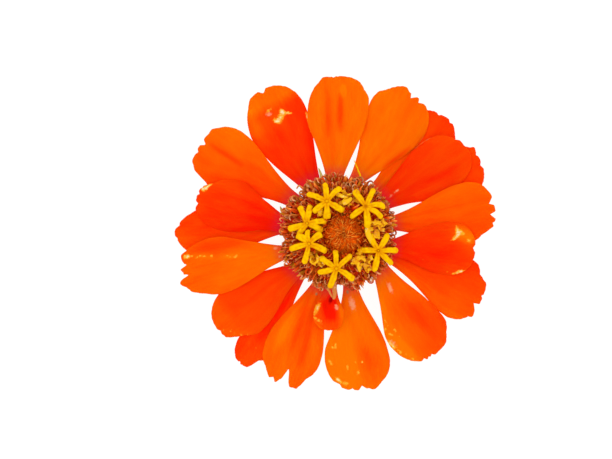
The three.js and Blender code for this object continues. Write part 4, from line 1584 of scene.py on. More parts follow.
@dataclass
class Disc:
    """The disc: a dark lumpy mound, crowded with chaff, curls and small buds.

    rim lists the bearings where its edge stands out or in, and by how much.
    """

    rim: tuple[Spot, ...] = (
        (20, 0.0), (78, -0.5), (104, -0.15), (133, -0.9), (156, 0.2), (187, -0.9), (210, 0.9), (239, -0.6),
        (272, -1.7), (299, 0.3), (327, 0.5), (358, -1.0),
    )
    rim_spread: float = 9.0  # in degrees, how far each bearing's swelling reaches
    rings: int = 46
    segments: int = 168
    lump: float = 0.42
    lump_size: float = 1.7
    smooth_foot: float = 0.8  # how high over its foot the mound has no lumps
    set_over: Spot = (-0.2, 0.1)

    FINE = 0.01  # how closely the edge of the CAD disc is felt out
    STEP = 0.05  # how far in at a time its height is looked for past that edge
    UNDERSIDE = slice(-2, None, -3)  # the rings that the underside has, of those on top

    def mound(self) -> Surface:
        """Shapes the disc's body.

        Returns:
            The CAD disc's surface with lumps, closed, with the numbers reach and tone.
        """
        felt = Feeler("disc_chaff")
        middle = felt.middle
        angles = np.linspace(0.0, TURN, self.segments, endpoint=False)
        reaches = [self.reach(felt, angle) for angle in angles]
        shares = np.sin(np.linspace(0.0, math.pi / 2.0, self.rings + 1))[1:]
        points = [(middle.x, middle.y, felt.height(middle.x, middle.y, True))]
        for above, order in ((True, shares), (False, shares[self.UNDERSIDE])):
            for share in order:
                for angle, reach in zip(angles, reaches):
                    points.append(self.felt_point(felt, angle, reach * share, above))
        points.append((middle.x, middle.y, felt.height(middle.x, middle.y, False)))
        made = round_surface(np.array(points), self.segments)
        is_lumpy = made.points[:, 2] > felt.low.z + self.smooth_foot
        made.points[:, 2] += self.lump * waver(made.points, self.lump_size, 4.0) * is_lumpy
        made.points[:, :2] += self.set_over
        made.numbers["reach"] = 0.3 + 0.3 * waver(made.points, 0.7, 9.0)
        made.numbers["tone"] = 0.5 + 0.5 * waver(made.points, 0.9, 2.0)
        return made

    def reach(self, felt: Feeler, angle: float) -> float:
        """Finds how far out the disc's edge stands.

        Args:
            felt: The CAD disc's feeler.
            angle: The bearing, in radians.

        Returns:
            The CAD disc's reach there, more or less what the rim says.
        """
        inside, outside = 0.0, (felt.high - felt.low).x
        while outside - inside > self.FINE:
            half = (inside + outside) / 2.0
            is_inside = felt.height(*around(felt.middle, angle, half), True) is not None
            inside, outside = (half, outside) if is_inside else (inside, half)
        away = (((math.degrees(angle) - at + 180.0) % 360.0 - 180.0, amount) for at, amount in self.rim)
        return inside + sum(amount * math.exp(-((turn / self.rim_spread) ** 2)) for turn, amount in away)

    def felt_point(self, felt: Feeler, angle: float, radius: float, above: bool) -> Place:
        """Finds a point of the mound.

        Args:
            felt: The CAD disc's feeler.
            angle: The point's bearing, in radians.
            radius: How far out it is.
            above: Whether it is on top.

        Returns:
            The point, held to the height of the CAD disc's edge where it stands out past it.
        """
        x, y = around(felt.middle, angle, radius)
        height = felt.height(x, y, above)
        while height is None:
            radius -= self.STEP
            height = felt.height(*around(felt.middle, angle, radius), above)
        return x, y, height

    def place(self) -> None:
        """Makes the disc's pieces."""
        # On the copied parts the root colours carry painted shade and the tip colours painted highlight,
        # over each part's own tint.
        dark, chaff, fuzz, olive = tuft_finishes(
            ("disc_mound", (166, 16, 0), (216, 50, 0), (238, 98, 12), (166, 76, 4), 0.3),
            ("chaff_scale", (208, 32, 0), (255, 94, 0), (255, 158, 64), (192, 122, 10), 0.3),
            ("spent_curl", (172, 56, 4), (226, 122, 50), (252, 190, 132), (228, 72, 2), 0.4),
            ("small_bud", (196, 50, 0), (236, 108, 2), (252, 160, 34), (252, 74, 0), 0.5),
        )
        ground = self.mound().mesh("disc_mound")
        settle(ground, dark, "chaff", "disc_chaff")
        scale = spike(
            "scale", lambda t: (0.5 * t * t, 0.12 * math.sin(3.0 * t), 1.0 * t - 0.2),
            lambda t: 0.27 * (1.0 - t**2.2) + 0.02, lambda t: 0.1 * (1.0 - 0.8 * t),
        )
        curl = spike(
            "curl",
            lambda t: (0.3 * (1.0 - math.cos(4.4 * t)), 0.25 * t, 0.36 * math.sin(4.4 * t) + 0.34 * t),
            lambda t: 0.13 * (1.0 - 0.5 * t), lambda t: 0.11 * (1.0 - 0.5 * t), steps=7,
        )
        bud = spike(
            "bud", lambda t: (0.0, 0.0, 0.9 * t - 0.2),
            lambda t: 0.34 * math.sin(math.pi * (0.12 + 0.84 * t)), sides=6,
        )
        crown = (*middle_of("bud_whorl").xy, 0.0)
        foot = (*Feeler("disc_chaff").middle.xy, 0.0)
        plan = (
            (Tuft("chaff_scales", Planting.STREWN, crown, 3.4, 12.6, spacing=0.72, lean=0.5, jitter=0.95,
                  size=1.25, spread=0.55, seed=3), scale, chaff),
            (Tuft("spent_curls", Planting.STREWN, foot, 7.2, 13.0, spacing=0.58, lean=0.3, jitter=1.4,
                  size=1.45, spread=0.6, seed=11), curl, fuzz),
            (Tuft("small_buds", Planting.STREWN, crown, 3.2, 6.4, spacing=0.95, lean=0.2, jitter=0.4,
                  size=1.0, spread=0.3, seed=5), bud, olive),
        )
        for tuft, shape, finish in plan:
            settle(tuft.grow(ground, shape, finish), finish, "chaff")


@dataclass
class Whorl:
    """The crown of unopened florets: a low cone under pointed scales that lean in to its middle."""

    needles: int = 210
    fringe: int = 230
    segments: int = 48
    inset: float = 0.1  # of the cone inside the CAD whorl
    sink: float = 0.45  # of its top under the CAD whorl's

    SHARES = (0.15, 0.3, 0.45, 0.6, 0.75, 0.9, 1.0)  # how far out the cone's rings are
    FOOT_SHARE = 0.9

    def cone(self) -> Surface:
        """Shapes the cone.

        Returns:
            The closed cone, with the numbers reach and tone.
        """
        low, high = box_of("bud_whorl")
        centre = (low + high) / 2.0
        outer = (high.x - low.x) / 2.0 - self.inset
        height = high.z - low.z - self.sink
        foot = low.z - 0.1
        angles = np.linspace(0.0, TURN, self.segments, endpoint=False)
        points = [(centre.x, centre.y, high.z - self.sink)]
        for share in self.SHARES:
            for angle in angles:
                rise = height * (1.0 - share**2.2) + 0.15 * math.sin(13.0 * angle + 5.0 * share)
                points.append((*around(centre, angle, outer * share), low.z + rise))
        points += [(*around(centre, angle, self.FOOT_SHARE * outer), foot) for angle in angles]
        points.append((centre.x, centre.y, foot))
        made = round_surface(np.array(points), self.segments)
        made.numbers["reach"] = 0.3 + 0.3 * waver(made.points, 0.5, 3.0)
        made.numbers["tone"] = 0.5 + 0.5 * waver(made.points, 0.6, 7.0)
        return made

    def place(self) -> None:
        """Makes the whorl's pieces."""
        # The root colours carry painted shade and the tip colours painted highlight, over the needles' own
        # tint.
        ember, blaze = tuft_finishes(
            ("whorl_needle", (214, 44, 0), (255, 112, 0), (255, 164, 54), (214, 92, 4), 0.3),
            ("whorl_fringe", (208, 36, 0), (255, 98, 0), (255, 158, 54), (190, 92, 4), 0.36),
        )
        ground = self.cone().mesh("whorl_cone")
        settle(ground, ember, "bud", "bud_whorl")
        needle = spike(
            "needle", lambda t: (-0.3 * t * t, 0.0, 1.7 * t - 0.25),
            lambda t: 0.13 * (1.0 - t**1.8) + 0.015, lambda t: 0.08 * (1.0 - 0.8 * t),
        )
        low, high = box_of("bud_whorl")
        foot = (*((low + high) / 2.0).xy, low.z)
        outer = (high.x - low.x) / 2.0 - self.inset
        plan = (
            (Tuft("whorl_needles", Planting.SPIRAL, foot, 0.15, outer + 0.1, count=self.needles,
                  dome=high.z - low.z - 0.8, lean=-0.8, jitter=0.75, size=1.0, spread=0.55, lift=0.15,
                  seed=23), ember),
            (Tuft("whorl_skirt", Planting.SPIRAL, foot, outer - 1.3, outer + 2.0, count=self.fringe,
                  dome=0.9, lean=0.35, jitter=1.1, size=1.05, spread=0.5, lift=-0.1, seed=31), blaze),
        )
        for tuft, finish in plan:
            settle(tuft.grow(ground, needle, finish), finish, "bud")


# ---------------------------------------------------------------- disc florets


@dataclass(frozen=True)
class StarSurvey:
    """An open floret's CAD node as measured: its throat, its foot's height and the tip of each lobe."""

    throat: Vector
    foot: float
    tips: tuple[Vector, ...]

    STRIPE = 0.8  # half the width of the stripe that a lobe's points lie in
    TIP_DEPTH = 0.2
    FOOT_DEPTH = 0.05
    TUBE = 1.6  # more than the tube's radius, and less than the shortest lobe
    FALL = 0.75  # a lobe's tip lies more than this under the floret's highest point
    THROAT_RISE = 0.2  # how far the mouth lies under the floret's highest point

    @classmethod
    def of(cls, node: str) -> "StarSurvey":
        """Measures a CAD node.

        Args:
            node: The floret's name.

        Returns:
            The survey.
        """
        copy = merged_copy(node)
        places = [vert.co.copy() for vert in copy.verts]
        copy.free()
        highest = max(place.z for place in places)
        middle = cls.mean(places)
        core = [place for place in places if (place - middle).xy.length < cls.TUBE]
        foot = min(place.z for place in core)
        throat = cls.mean([place for place in core if place.z < foot + cls.FOOT_DEPTH])
        far_out = [place for place in places if (place - throat).xy.length > cls.TUBE]
        tips = cls.lobe_tips([place for place in far_out if place.z < highest - cls.FALL], throat)
        throat.z = highest - cls.THROAT_RISE
        return cls(throat, foot, tips)

    @staticmethod
    def mean(places: Sequence[Vector]) -> Vector:
        """Returns the mean of some places."""
        return sum(places, Vector()) / len(places)

    @classmethod
    def lobe_tips(cls, loose: list[Vector], throat: Vector) -> tuple[Vector, ...]:
        """Finds the lobes' tips.

        Args:
            loose: The points that belong to lobes.
            throat: The place that the lobes spread from.

        Returns:
            The middle of each lobe's end, the longest lobe first.
        """
        tips = []
        while loose:
            far = max(loose, key=lambda place: (place - throat).xy.length)
            heading = (far - throat).xy.normalized()
            along = [(place - throat).xy.dot(heading) for place in loose]
            off = [abs((place - throat).xy.cross(heading)) for place in loose]
            own = [i for i in range(len(loose)) if along[i] > 0.0 and off[i] < cls.STRIPE]
            reach = max(along[i] for i in own)
            tips.append(cls.mean([loose[i] for i in own if along[i] > reach - cls.TIP_DEPTH]))
            loose = [place for i, place in enumerate(loose) if i not in own]
        return tuple(tips)


@dataclass
class StarFloret:
    """An open disc floret: a tube whose mouth spreads into blunt grooved lobes round its stamens.

    knob is the size of the knob that the stamens make. bends lists the bearings of the lobes that bow to
    their left, how far as a share of their length, and how broad they are beside the others. In its methods
    share is how far along a lobe a point is.
    """

    number: int
    knob: float
    bends: tuple[Place, ...]
    stations: int = 22
    sides: int = 16
    half_width: float = 0.58
    half_depth: float = 0.27
    blunt: float = 0.16  # the share of a lobe that its rounded end takes
    arch: float = 0.42
    hang: float = 0.3
    groove: float = 0.1
    crumple: float = 0.09
    mouth: float = 0.3

    BEARING_SLACK = 15.0  # how many degrees from its lobe a bend may be given
    TUBE_SIDES = 20
    KNOB_SIDES = 12
    LOBE_START = 0.3  # how far from the axis a lobe starts
    LOBE_SINK = 0.12

    @property
    def node(self) -> str:
        """The name of the CAD node."""
        return f"star_floret_{self.number:02d}"

    def girth(self, share: float, breadth: float, order: int) -> Spot:
        """Works out how thick a lobe is.

        Args:
            share: How far along it.
            breadth: Its width beside that of the others.
            order: The lobe's number, which varies its shape a little.

        Returns:
            Half its width and half its depth.
        """
        round_end = math.sqrt(max(0.0, 1.0 - max(0.0, (share - 1.0 + self.blunt) / self.blunt) ** 2))
        shoulder = 0.8 + 0.2 * math.sin(min(1.0, share / 0.5) * math.pi / 2.0) ** 1.5
        wobble = 1.0 + 0.07 * math.sin(5.0 * share + 2.1 * order + self.number)
        broad = 1.0 + (breadth - 1.0) * share
        half = self.half_width * shoulder * wobble * broad * max(0.06, round_end)
        return half, self.half_depth * max(0.1, round_end) * (0.85 + 0.3 * share)

    def section(self, angle: float, share: float, half_depth: float) -> Spot:
        """Shapes a lobe's section.

        Args:
            angle: Where round the section, from its left edge over the top.
            share: How far along the lobe.
            half_depth: Half the lobe's depth there.

        Returns:
            The height over the lobe's middle line and the depth number, which paints shade near the throat,
            underneath, in the groove and along the edges.
        """
        across, up = math.cos(angle), math.sin(angle)
        height = half_depth * math.copysign(abs(up) ** 0.8, up) - 0.1 * across**2
        # The depth number paints shade near the throat, underneath, in the groove and along the edges.
        depth = 0.35 * max(0.0, 1.0 - share / 0.45)
        if up <= 0.0:
            return height, depth + 0.5
        ends = math.sin(math.pi * min(1.0, share * 1.15)) ** 0.5
        height -= self.groove * max(0.0, 1.0 - abs(across) / 0.55) * ends
        hollow = 0.4 * max(0.0, 1.0 - abs(across) / 0.35) * (1.0 - share)
        return height, depth + hollow + 0.45 * across**6

    def lobe(self, survey: StarSurvey, tip: Vector, bend: float, breadth: float, order: int) -> Surface:
        """Shapes one lobe.

        Args:
            survey: The floret's survey.
            tip: The place of the lobe's tip.
            bend: How far the lobe bows to its left, as a share of its length.
            breadth: Its width beside that of the others.
            order: The lobe's number, which varies its shape a little.

        Returns:
            The closed lobe, with the number "depth", its painted shade, high in its groove, near the throat,
            along its edges and underneath.
        """
        span = tip.xy - survey.throat.xy
        length = span.length
        forward = Vector((*span.normalized(), 0.0))
        left = Vector((-forward.y, forward.x, 0.0))
        fall = survey.throat.z - tip.z - 0.05
        points, painted_shades = [], []
        for share in (i / self.stations for i in range(self.stations + 1)):
            half, half_depth = self.girth(share, breadth, order)
            out = self.LOBE_START + (length - 0.25) * share
            bow = bend * length * math.sin(math.pi * share * 0.85)
            bow += 0.05 * math.sin(3.0 * order + 4.0 * share)
            rise = self.arch * math.sin(math.pi * share * 0.75) - (fall + self.hang) * share**2.4
            middle = survey.throat + forward * out + left * bow + UP * (rise - self.LOBE_SINK)
            for angle in (TURN * k / self.sides for k in range(self.sides)):
                height, depth = self.section(angle, share, half_depth)
                points.append((middle + left * (math.cos(angle) * half) + UP * height)[:])
                painted_shades.append(depth)
        places = np.array(points)
        crease = waver(places, 0.55, 2.0 * self.number)
        places += self.crumple * crease[:, None]
        # The crumple shifts the painted shade too.
        return tube(places, self.sides, {"depth": np.array(painted_shades) - 0.35 * crease})

    def turned(self, survey: StarSurvey, profile: Sequence[Place], segments: int) -> Surface:
        """Turns a closed shape on the floret's axis.

        Args:
            survey: The floret's survey.
            profile: Radius, height over the throat and depth number for the painted shade, from the foot up.
            segments: How many points it has round.

        Returns:
            The shape, with the number "depth" for its painted shade.
        """
        top, foot = profile[-1], profile[0]
        points, painted_shades = [(*survey.throat.xy, survey.throat.z + top[1])], [top[2]]
        for radius, height, depth in reversed(profile):
            for angle in np.linspace(0.0, TURN, segments, endpoint=False):
                points.append((*around(survey.throat, angle, radius), survey.throat.z + height))
                painted_shades.append(depth)
        points.append((*survey.throat.xy, survey.throat.z + foot[1]))
        made = round_surface(np.array(points), segments)
        made.numbers["depth"] = np.array([*painted_shades, foot[2]])
        return made

    def place(self, material: bpy.types.Material) -> None:
        """Makes the floret.

        Args:
            material: Its finish.
        """
        survey = StarSurvey.of(self.node)
        parts = []
        for order, tip in enumerate(survey.tips):
            span = tip - survey.throat
            bearing = math.degrees(math.atan2(span.y, span.x))
            bend, breadth = 0.0, 1.0
            for at, *style in self.bends:
                if abs((bearing - at + 180.0) % 360.0 - 180.0) < self.BEARING_SLACK:
                    bend, breadth = style
                    break
            parts.append(self.lobe(survey, tip, bend, breadth, order))
        foot = survey.foot - survey.throat.z
        # The third number of each row is painted shade, darkest down the throat and at the foot of the knob.
        parts.append(self.turned(survey, (
            (0.28, foot, 0.9), (0.33, 0.5 * foot, 0.7), (0.42, -0.25, 0.5), (0.52, -0.06, 0.4),
            (0.46, 0.1, 0.4), (self.mouth, 0.0, 0.8), (0.18, -0.2, 1.1),
        ), self.TUBE_SIDES))
        if self.knob > 0.0:
            profile = (
                (0.12, -0.3, 1.0), (0.15, 0.0, 0.9), (0.22, 0.2, 0.5), (0.27, 0.36, 0.3), (0.21, 0.5, 0.2),
                (0.08, 0.56, 0.3),
            )
            wide = [(radius * self.knob, height, depth) for radius, height, depth in profile]
            parts.append(self.turned(survey, wide, self.KNOB_SIDES))
        settle(joined(parts).mesh(self.node + "_bloom"), material, "yellow_floret", self.node)


@dataclass
class WitheredFloret:
    """A spent floret: a few shrunken blades that curl over each other."""

    number: int
    blades: int
    turn: float
    reach: float
    rows: int = 26
    columns: int = 11
    thickness: float = 0.11
    crumple: float = 0.16
    sink: float = 0.25  # of the blades' roots under the CAD floret's foot

    @property
    def node(self) -> str:
        """The name of the CAD node."""
        return f"withered_floret_{self.number:02d}"

    def blade(self, b: int) -> Surface:
        """Shapes one blade.

        Args:
            b: Its number, which varies its shape.

        Returns:
            The blade in place as a thin closed sheet, with the number "depth", its painted shade, high in
            its folds and towards its root.
        """
        centre = middle_of(self.node)
        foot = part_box(self.node)[0][2] / MM - self.sink
        heading = self.turn + TURN * b / self.blades + 0.5 * math.sin(7.3 * b + self.number)
        length = self.reach * (0.8 + 0.35 * math.sin(3.1 * b + 2.0 * self.number))
        share = np.linspace(0.0, 1.0, self.rows)[:, None]
        vein = np.linspace(-1.0, 1.0, self.columns)[None, :]
        half = (0.22 + 0.5 * np.sin(np.pi * (0.08 + 0.84 * share))) * (0.8 + 0.25 * math.sin(b * 2.7))
        twist = 1.2 * share * math.sin(1.9 * b + self.number)
        across = half * vein
        x = 0.15 + length * np.sin(share * 2.3) / 1.1 + 0.25 * half * vein**2
        y = across * np.cos(twist)
        rise = 0.15 + 1.15 * share - 0.35 * np.sin(share * 5.0 + b)
        z = rise + across * np.sin(twist) + 0.35 * half * vein**2
        middle = np.stack(np.broadcast_arrays(x, y, z), axis=-1)
        crease = self.crumple * waver(middle, 0.45, 3.0 * b + self.number)
        x, y, z = np.moveaxis(middle + crease[..., None], -1, 0)
        cos, sin = math.cos(heading), math.sin(heading)
        placed = np.stack([centre.x + x * cos - y * sin, centre.y + x * sin + y * cos, foot + z], axis=-1)
        # Painted shade: darker where the crumple pushes the blade down and towards the root.
        depth = np.clip(0.5 - 3.0 * crease + 0.3 * (1.0 - share), 0.0, 1.0)
        made = sheet(placed, np.full(placed.shape[:2], self.thickness), {"depth": depth})
        del made.numbers["under"]
        return made

    def place(self, material: bpy.types.Material) -> None:
        """Makes the floret."""
        parts = [self.blade(b) for b in range(self.blades)]
        settle(joined(parts).mesh(self.node + "_husk"), material, "withered_floret", self.node)


@dataclass(frozen=True)
class Strand:
    """A thin loose piece, such as a dried style or a stray filament, that follows a few points."""

    name: str
    points: tuple[Place, ...]
    half_width: float
    half_depth: float
    tip: float = 0.2
    steps: int = 26
    sides: int = 8
    waver_height: float = 0.04

    def place(self, material: bpy.types.Material, slot: str) -> None:
        """Makes the piece.

        Args:
            material: Its finish.
            slot: The record's material slot that the finish belongs to.
        """
        known = np.array(self.points)
        lengths = np.linalg.norm(np.diff(known, axis=0), axis=1)
        at = np.concatenate([[0.0], np.cumsum(lengths)])
        wanted = np.linspace(0.0, at[-1], self.steps + 1)
        line = np.stack([smooth_curve(at, known[:, axis], wanted) for axis in range(3)], axis=-1)
        along = np.gradient(line, axis=0)
        along /= np.linalg.norm(along, axis=1, keepdims=True)
        side = np.cross(along, np.array(UP))
        side /= np.linalg.norm(side, axis=1, keepdims=True)
        up = np.cross(side, along)
        share = wanted / at[-1]
        taper = 1.0 - (1.0 - self.tip) * share**2
        taper = taper * np.sqrt(np.clip(1.0 - (2.0 * share - 1.0) ** 12, 0.02, 1.0))
        rings = []
        for angle in np.linspace(0.0, TURN, self.sides, endpoint=False):
            reach = side * (math.cos(angle) * self.half_width) + up * (math.sin(angle) * self.half_depth)
            rings.append(line + reach * taper[:, None])
        points = np.concatenate([line[:1], np.stack(rings, axis=1).reshape(-1, 3), line[-1:]])
        points += self.waver_height * waver(points, 0.5, 6.0)[:, None]
        settle(round_surface(points, self.sides).outward().mesh(self.name), material, slot)


# ---------------------------------------------------------------- cup


@dataclass
class Cup:
    """The green cup under the head, with its cut face, and the bracts outside it."""

    segments: int = 96
    rows: int = 34
    ribs: int = 26
    rib_height: float = 0.05
    smooth_foot: float = 0.5  # how high over the cut the cup has no ribs
    bract_count: int = 18
    margin_width: float = 0.7
    dark_end: float = 2.2  # how far under a bract's tip its margin is at its darkest

    FOOT = ((0.97, 0.0), (0.8, 0.0), (0.62, 0.05), (0.3, 0.15))  # the cut: share of its radius and hollow
    WALL_FACING = 0.55  # the most that a face of a bract's edge looks outwards or inwards

    def receptacle(self) -> Surface:
        """Shapes the cup.

        Returns:
            The CAD cup's surface with faint ribs, closed, with the numbers cut and margin.
        """
        felt = Feeler("receptacle")
        low, high = felt.low.z, felt.high.z
        heights = np.linspace(high - 0.01, low + 0.01, self.rows)
        radii = [felt.radius(z) for z in heights]
        foot = radii[-1]
        profile = [(0.5 * radii[0], high), *zip(radii, heights)]
        profile += [(foot * share, low + hollow) for share, hollow in self.FOOT]
        points, cut = [(0.0, 0.0, high)], [0.0]
        for radius, z in profile:
            for angle in np.linspace(0.0, TURN, self.segments, endpoint=False):
                ribs = math.cos(self.ribs * angle) * (z > low + self.smooth_foot)
                out = radius * (1.0 + self.rib_height * ribs / max(radius, 1.0))
                points.append((out * math.cos(angle), out * math.sin(angle), z))
                cut.append(1.0 if z < low + 0.2 and radius < foot * 0.99 else 0.0)
        points.append((0.0, 0.0, low + self.FOOT[-1][1]))
        made = round_surface(np.array(points), self.segments)
        made.numbers = {"cut": np.array([*cut, 1.0]), "margin": np.zeros(len(points))}
        return made

    def bract(self, node: str) -> bpy.types.Mesh:
        """Rounds a bract.

        Args:
            node: Its CAD node.

        Returns:
            The smooth bract, with the number "margin" high near its edge.
        """
        copy = merged_copy(node)
        centre = sum((vert.co for vert in copy.verts), Vector()) / len(copy.verts)
        out = Vector((centre.x, centre.y, 0.0)).normalized()
        sides = [face for face in copy.faces if face.normal.xy.length > 0.0]
        wall = [face for face in sides if abs(face.normal.dot(out)) < self.WALL_FACING]
        edge = [vert.co.copy() for vert in {vert for face in wall for vert in face.verts}]
        bmesh.ops.scale(copy, vec=(MM,) * 3, verts=copy.verts)
        mould = bpy.data.meshes.new(node + "_mould")
        copy.to_mesh(mould)
        copy.free()
        holder = stood(node + "_mould", mould)
        rounding = holder.modifiers.new("rounding", "SUBSURF")
        rounding.levels = rounding.render_levels = 2
        made = applied(holder, node + "_scale")
        bpy.data.meshes.remove(mould)
        made.shade_smooth()
        places = [vert.co / MM for vert in made.vertices]
        top = max(place.z for place in places)
        margins = []
        for place in places:
            away = min((place - point).length for point in edge)
            strength = 0.4 + 0.6 * (place.z > top - self.dark_end)
            margins.append(max(0.0, 1.0 - away / self.margin_width) * strength)
        made.attributes.new("margin", "FLOAT", "POINT").data.foreach_set("value", margins)
        return made

    def place(self) -> None:
        """Makes the cup and its bracts."""
        skin = GreenFinish("receptacle_skin").build()
        settle(self.receptacle().mesh("receptacle_cup"), skin, "receptacle", "receptacle")
        leaf = GreenFinish("bract_skin", linear(96, 128, 58), linear(140, 160, 84)).build()
        for i in range(1, self.bract_count + 1):
            node = f"bract_{i:02d}"
            settle(self.bract(node), leaf, "green_bract", node)
        fresh = GreenFinish(
            "bract_tip", linear(196, 200, 84), linear(232, 232, 150), linear(120, 84, 30),
        ).build()
        for tip in BRACT_TIPS:
            tip.place(fresh, "green_bract")


# ---------------------------------------------------------------- studio


@dataclass
class Studio:
    """A pale floor, soft light from all round and a camera straight above."""

    aim: Place = (-6.2, 0.5, 9.0)
    view_width: float = 122.4
    lens: float = 200.0
    sensor: float = 36.0
    far: float = 100.0  # metres, past which the camera sees nothing
    floor_size: float = 3000.0
    floor_greys: Spot = (0.16, 0.18)
    floor_glow: float = 0.92
    sky: float = 0.98
    key_place: Place = (-180.0, 230.0, 760.0)
    key_size: float = 1300.0
    key_power: float = 1.1

    def place(self) -> None:
        """Sets up the floor, the lights and the camera."""
        self.floor()
        self.sky_light()
        self.key_light()
        camera = bpy.data.cameras.new("camera")
        camera.lens = self.lens
        camera.sensor_width = self.sensor
        camera.clip_end = self.far
        holder = stood("camera", camera)
        distance = self.view_width / self.sensor * self.lens
        holder.location = (Vector(self.aim) + UP * distance) * MM
        bpy.context.scene.camera = holder

    def floor(self) -> None:
        """Lays the floor."""
        half = self.floor_size / 2.0
        corners = np.array([(-half, -half, 0.0), (half, -half, 0.0), (half, half, 0.0), (-half, half, 0.0)])
        mesh = Surface(corners, [(0, 1, 2, 3)]).mesh("floor")
        skin = Skin("floor_paint", roughness=0.9, specular=0.0)
        dark, light = ((grey,) * 3 for grey in self.floor_greys)
        skin.set({"Emission Color": WHITE, "Emission Strength": self.floor_glow})
        mesh.materials.append(skin.finish(skin.ramp(skin.noise(0.002, 2.0), ((0.0, dark), (1.0, light)))))
        floor = stood("floor", mesh)

    def sky_light(self) -> None:
        """Lights the scene evenly from all round."""
        world = bpy.data.worlds.new("studio")
        world.use_nodes = True
        backdrop = world.node_tree.nodes["Background"]
        backdrop.inputs["Color"].default_value = WHITE
        backdrop.inputs["Strength"].default_value = self.sky
        bpy.context.scene.world = world
        bpy.context.scene.view_settings.view_transform = "Standard"

    def key_light(self) -> None:
        """Hangs a square soft lamp that faces the head."""
        light = bpy.data.lights.new("key", "AREA")
        light.size = self.key_size * MM
        light.energy = self.key_power
        holder = stood("key", light)
        holder.location = Vector(self.key_place) * MM
        away = Vector(self.key_place) - Vector((0.0, 0.0, 10.0))
        holder.rotation_euler = away.to_track_quat("Z", "Y").to_euler()


# ---------------------------------------------------------------- the flower


def strands(name: str, *rows: tuple) -> tuple[Strand, ...]:
    """Numbers strands that share a name, each given by its points, half width, half depth and tip."""
    return tuple(Strand(f"{name}_{number}", *row) for number, row in enumerate(rows, start=1))


STARS = (
    StarFloret(1, 1.15, ((163, -0.08, 1.0), (39, 0.12, 1.0), (-29, -0.03, 1.15), (-90, 0.0, 1.35))),
    StarFloret(2, 1.0, ((-165, 0.05, 1.1), (7, 0.03, 1.15), (-29, 0.05, 1.1))),
    StarFloret(3, 1.0, ((33, 0.14, 1.25), (149, -0.12, 1.25), (90, 0.15, 0.9), (-26, 0.04, 1.2))),
    StarFloret(4, 1.15, ((-34, 0.04, 1.1), (-112, 0.05, 1.1))),
    StarFloret(5, 0.6, ((119, 0.02, 1.3), (179, 0.0, 1.1))),
    StarFloret(6, 0.0, ((-10, 0.22, 1.0), (-40, 0.13, 1.0), (128, -0.05, 1.05), (-86, 0.03, 1.35))),
)
HUSKS = (
    WitheredFloret(1, blades=7, turn=0.4, reach=2.1),
    WitheredFloret(2, blades=8, turn=1.1, reach=2.1),
    WitheredFloret(3, blades=7, turn=2.0, reach=2.1),
    WitheredFloret(4, blades=5, turn=0.0, reach=1.7),
)
LOOSE_LOBES = strands(
    "loose_lobe",
    (((5.9, 0.9, 17.0), (6.1, -0.4, 17.3), (6.7, -1.7, 17.3), (7.3, -2.7, 17.0)), 0.6, 0.25, 0.7),
    (((7.1, 1.6, 17.0), (7.9, 1.9, 17.2), (8.7, 1.4, 16.7)), 0.42, 0.2, 0.6),
    (((-3.2, 5.2, 17.0), (-3.4, 4.2, 17.1), (-3.3, 3.1, 16.6)), 0.62, 0.25, 0.8),
    (((0.9, 5.7, 17.2), (1.9, 6.0, 17.5), (2.9, 6.8, 17.2)), 0.6, 0.22, 0.4),
    (((-0.3, 7.6, 16.8), (0.9, 7.1, 17.4), (2.2, 6.7, 17.0)), 0.42, 0.18, 0.5),
    (((-5.3, -4.8, 16.9), (-5.3, -5.8, 17.2), (-4.6, -6.5, 16.9)), 0.2, 0.15, 0.6),
    (((-3.9, -4.7, 16.9), (-3.9, -5.6, 17.3), (-4.7, -6.3, 17.0)), 0.3, 0.15, 0.6),
    (((3.8, -5.3, 16.9), (4.7, -5.0, 17.3), (5.6, -5.8, 17.0)), 0.45, 0.2, 0.6),
    (((4.1, -5.9, 16.9), (4.2, -6.9, 17.1), (4.5, -7.9, 16.6)), 0.4, 0.2, 0.6),
)
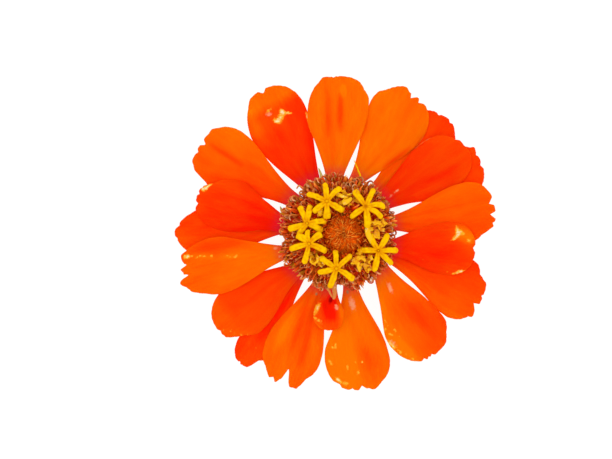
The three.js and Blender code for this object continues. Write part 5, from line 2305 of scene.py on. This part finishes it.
DRIED_STYLES = strands(
    "dried_style",
    (((-3.1, -9.6, 14.4), (-2.3, -10.7, 14.0), (-1.6, -11.7, 13.6), (-1.0, -13.0, 13.3)), 0.28, 0.16, 0.5),
    (((-0.5, -9.6, 13.6), (-0.6, -10.8, 13.2), (-0.5, -12.0, 13.0), (-0.7, -13.4, 12.8)), 0.55, 0.18, 0.5),
    (((-8.1, 8.6, 12.2), (-7.6, 9.2, 12.6), (-6.8, 8.7, 12.9), (-6.3, 7.6, 12.8)), 0.16, 0.12, 0.7),
)
STRAY_FILAMENT = Strand(
    "stray_filament", ((4.9, 10.5, 11.4), (4.2, 12.3, 11.0), (3.3, 14.5, 10.9)), 0.17, 0.12,
)
BRACT_TIPS = strands(
    "bract_tip",
    (((-2.6, 8.6, 7.2), (-3.0, 10.8, 7.7), (-3.7, 12.9, 8.0)), 0.45, 0.15),
    (((-9.2, 3.1, 7.2), (-10.9, 4.0, 7.7), (-11.4, 5.2, 8.0)), 0.45, 0.2),
    (((4.9, -7.0, 7.2), (6.3, -8.7, 7.7), (7.1, -9.7, 7.9)), 0.4, 0.2),
)


def main() -> None:
    """Builds the head and its studio."""
    logging.basicConfig(level=logging.INFO, format="%(name)s %(message)s")
    slots = {part["node"]: part["material_slot"] for part in frame["record"]["subparts"]}
    petals = {slot: PetalFinish(slot + "_skin").build() for slot in ("orange_ray", "red_ray")}
    for number, look in enumerate(RAY_LOOKS, start=1):
        ray = Ray(number, look)
        ray.place(petals[slots[ray.node]], slots[ray.node])
    Disc().place()
    Whorl().place()
    yellow = LobeFinish("yellow_lobe").build()
    for star in STARS:
        star.place(yellow)
    spent = WitheredFinish("spent_lobe").build()
    for husk in HUSKS:
        husk.place(spent)
    for lobe in LOOSE_LOBES:
        lobe.place(spent, "withered_floret")
    tan = WitheredFinish(
        "dried_style", linear(228, 140, 60), linear(244, 186, 120), linear(160, 80, 24),
    ).build()
    for strand in DRIED_STYLES:
        strand.place(tan, "withered_floret")
    STRAY_FILAMENT.place(yellow, "yellow_floret")
    Cup().place()
    Studio().place()


if __name__ == "__main__":
    main()
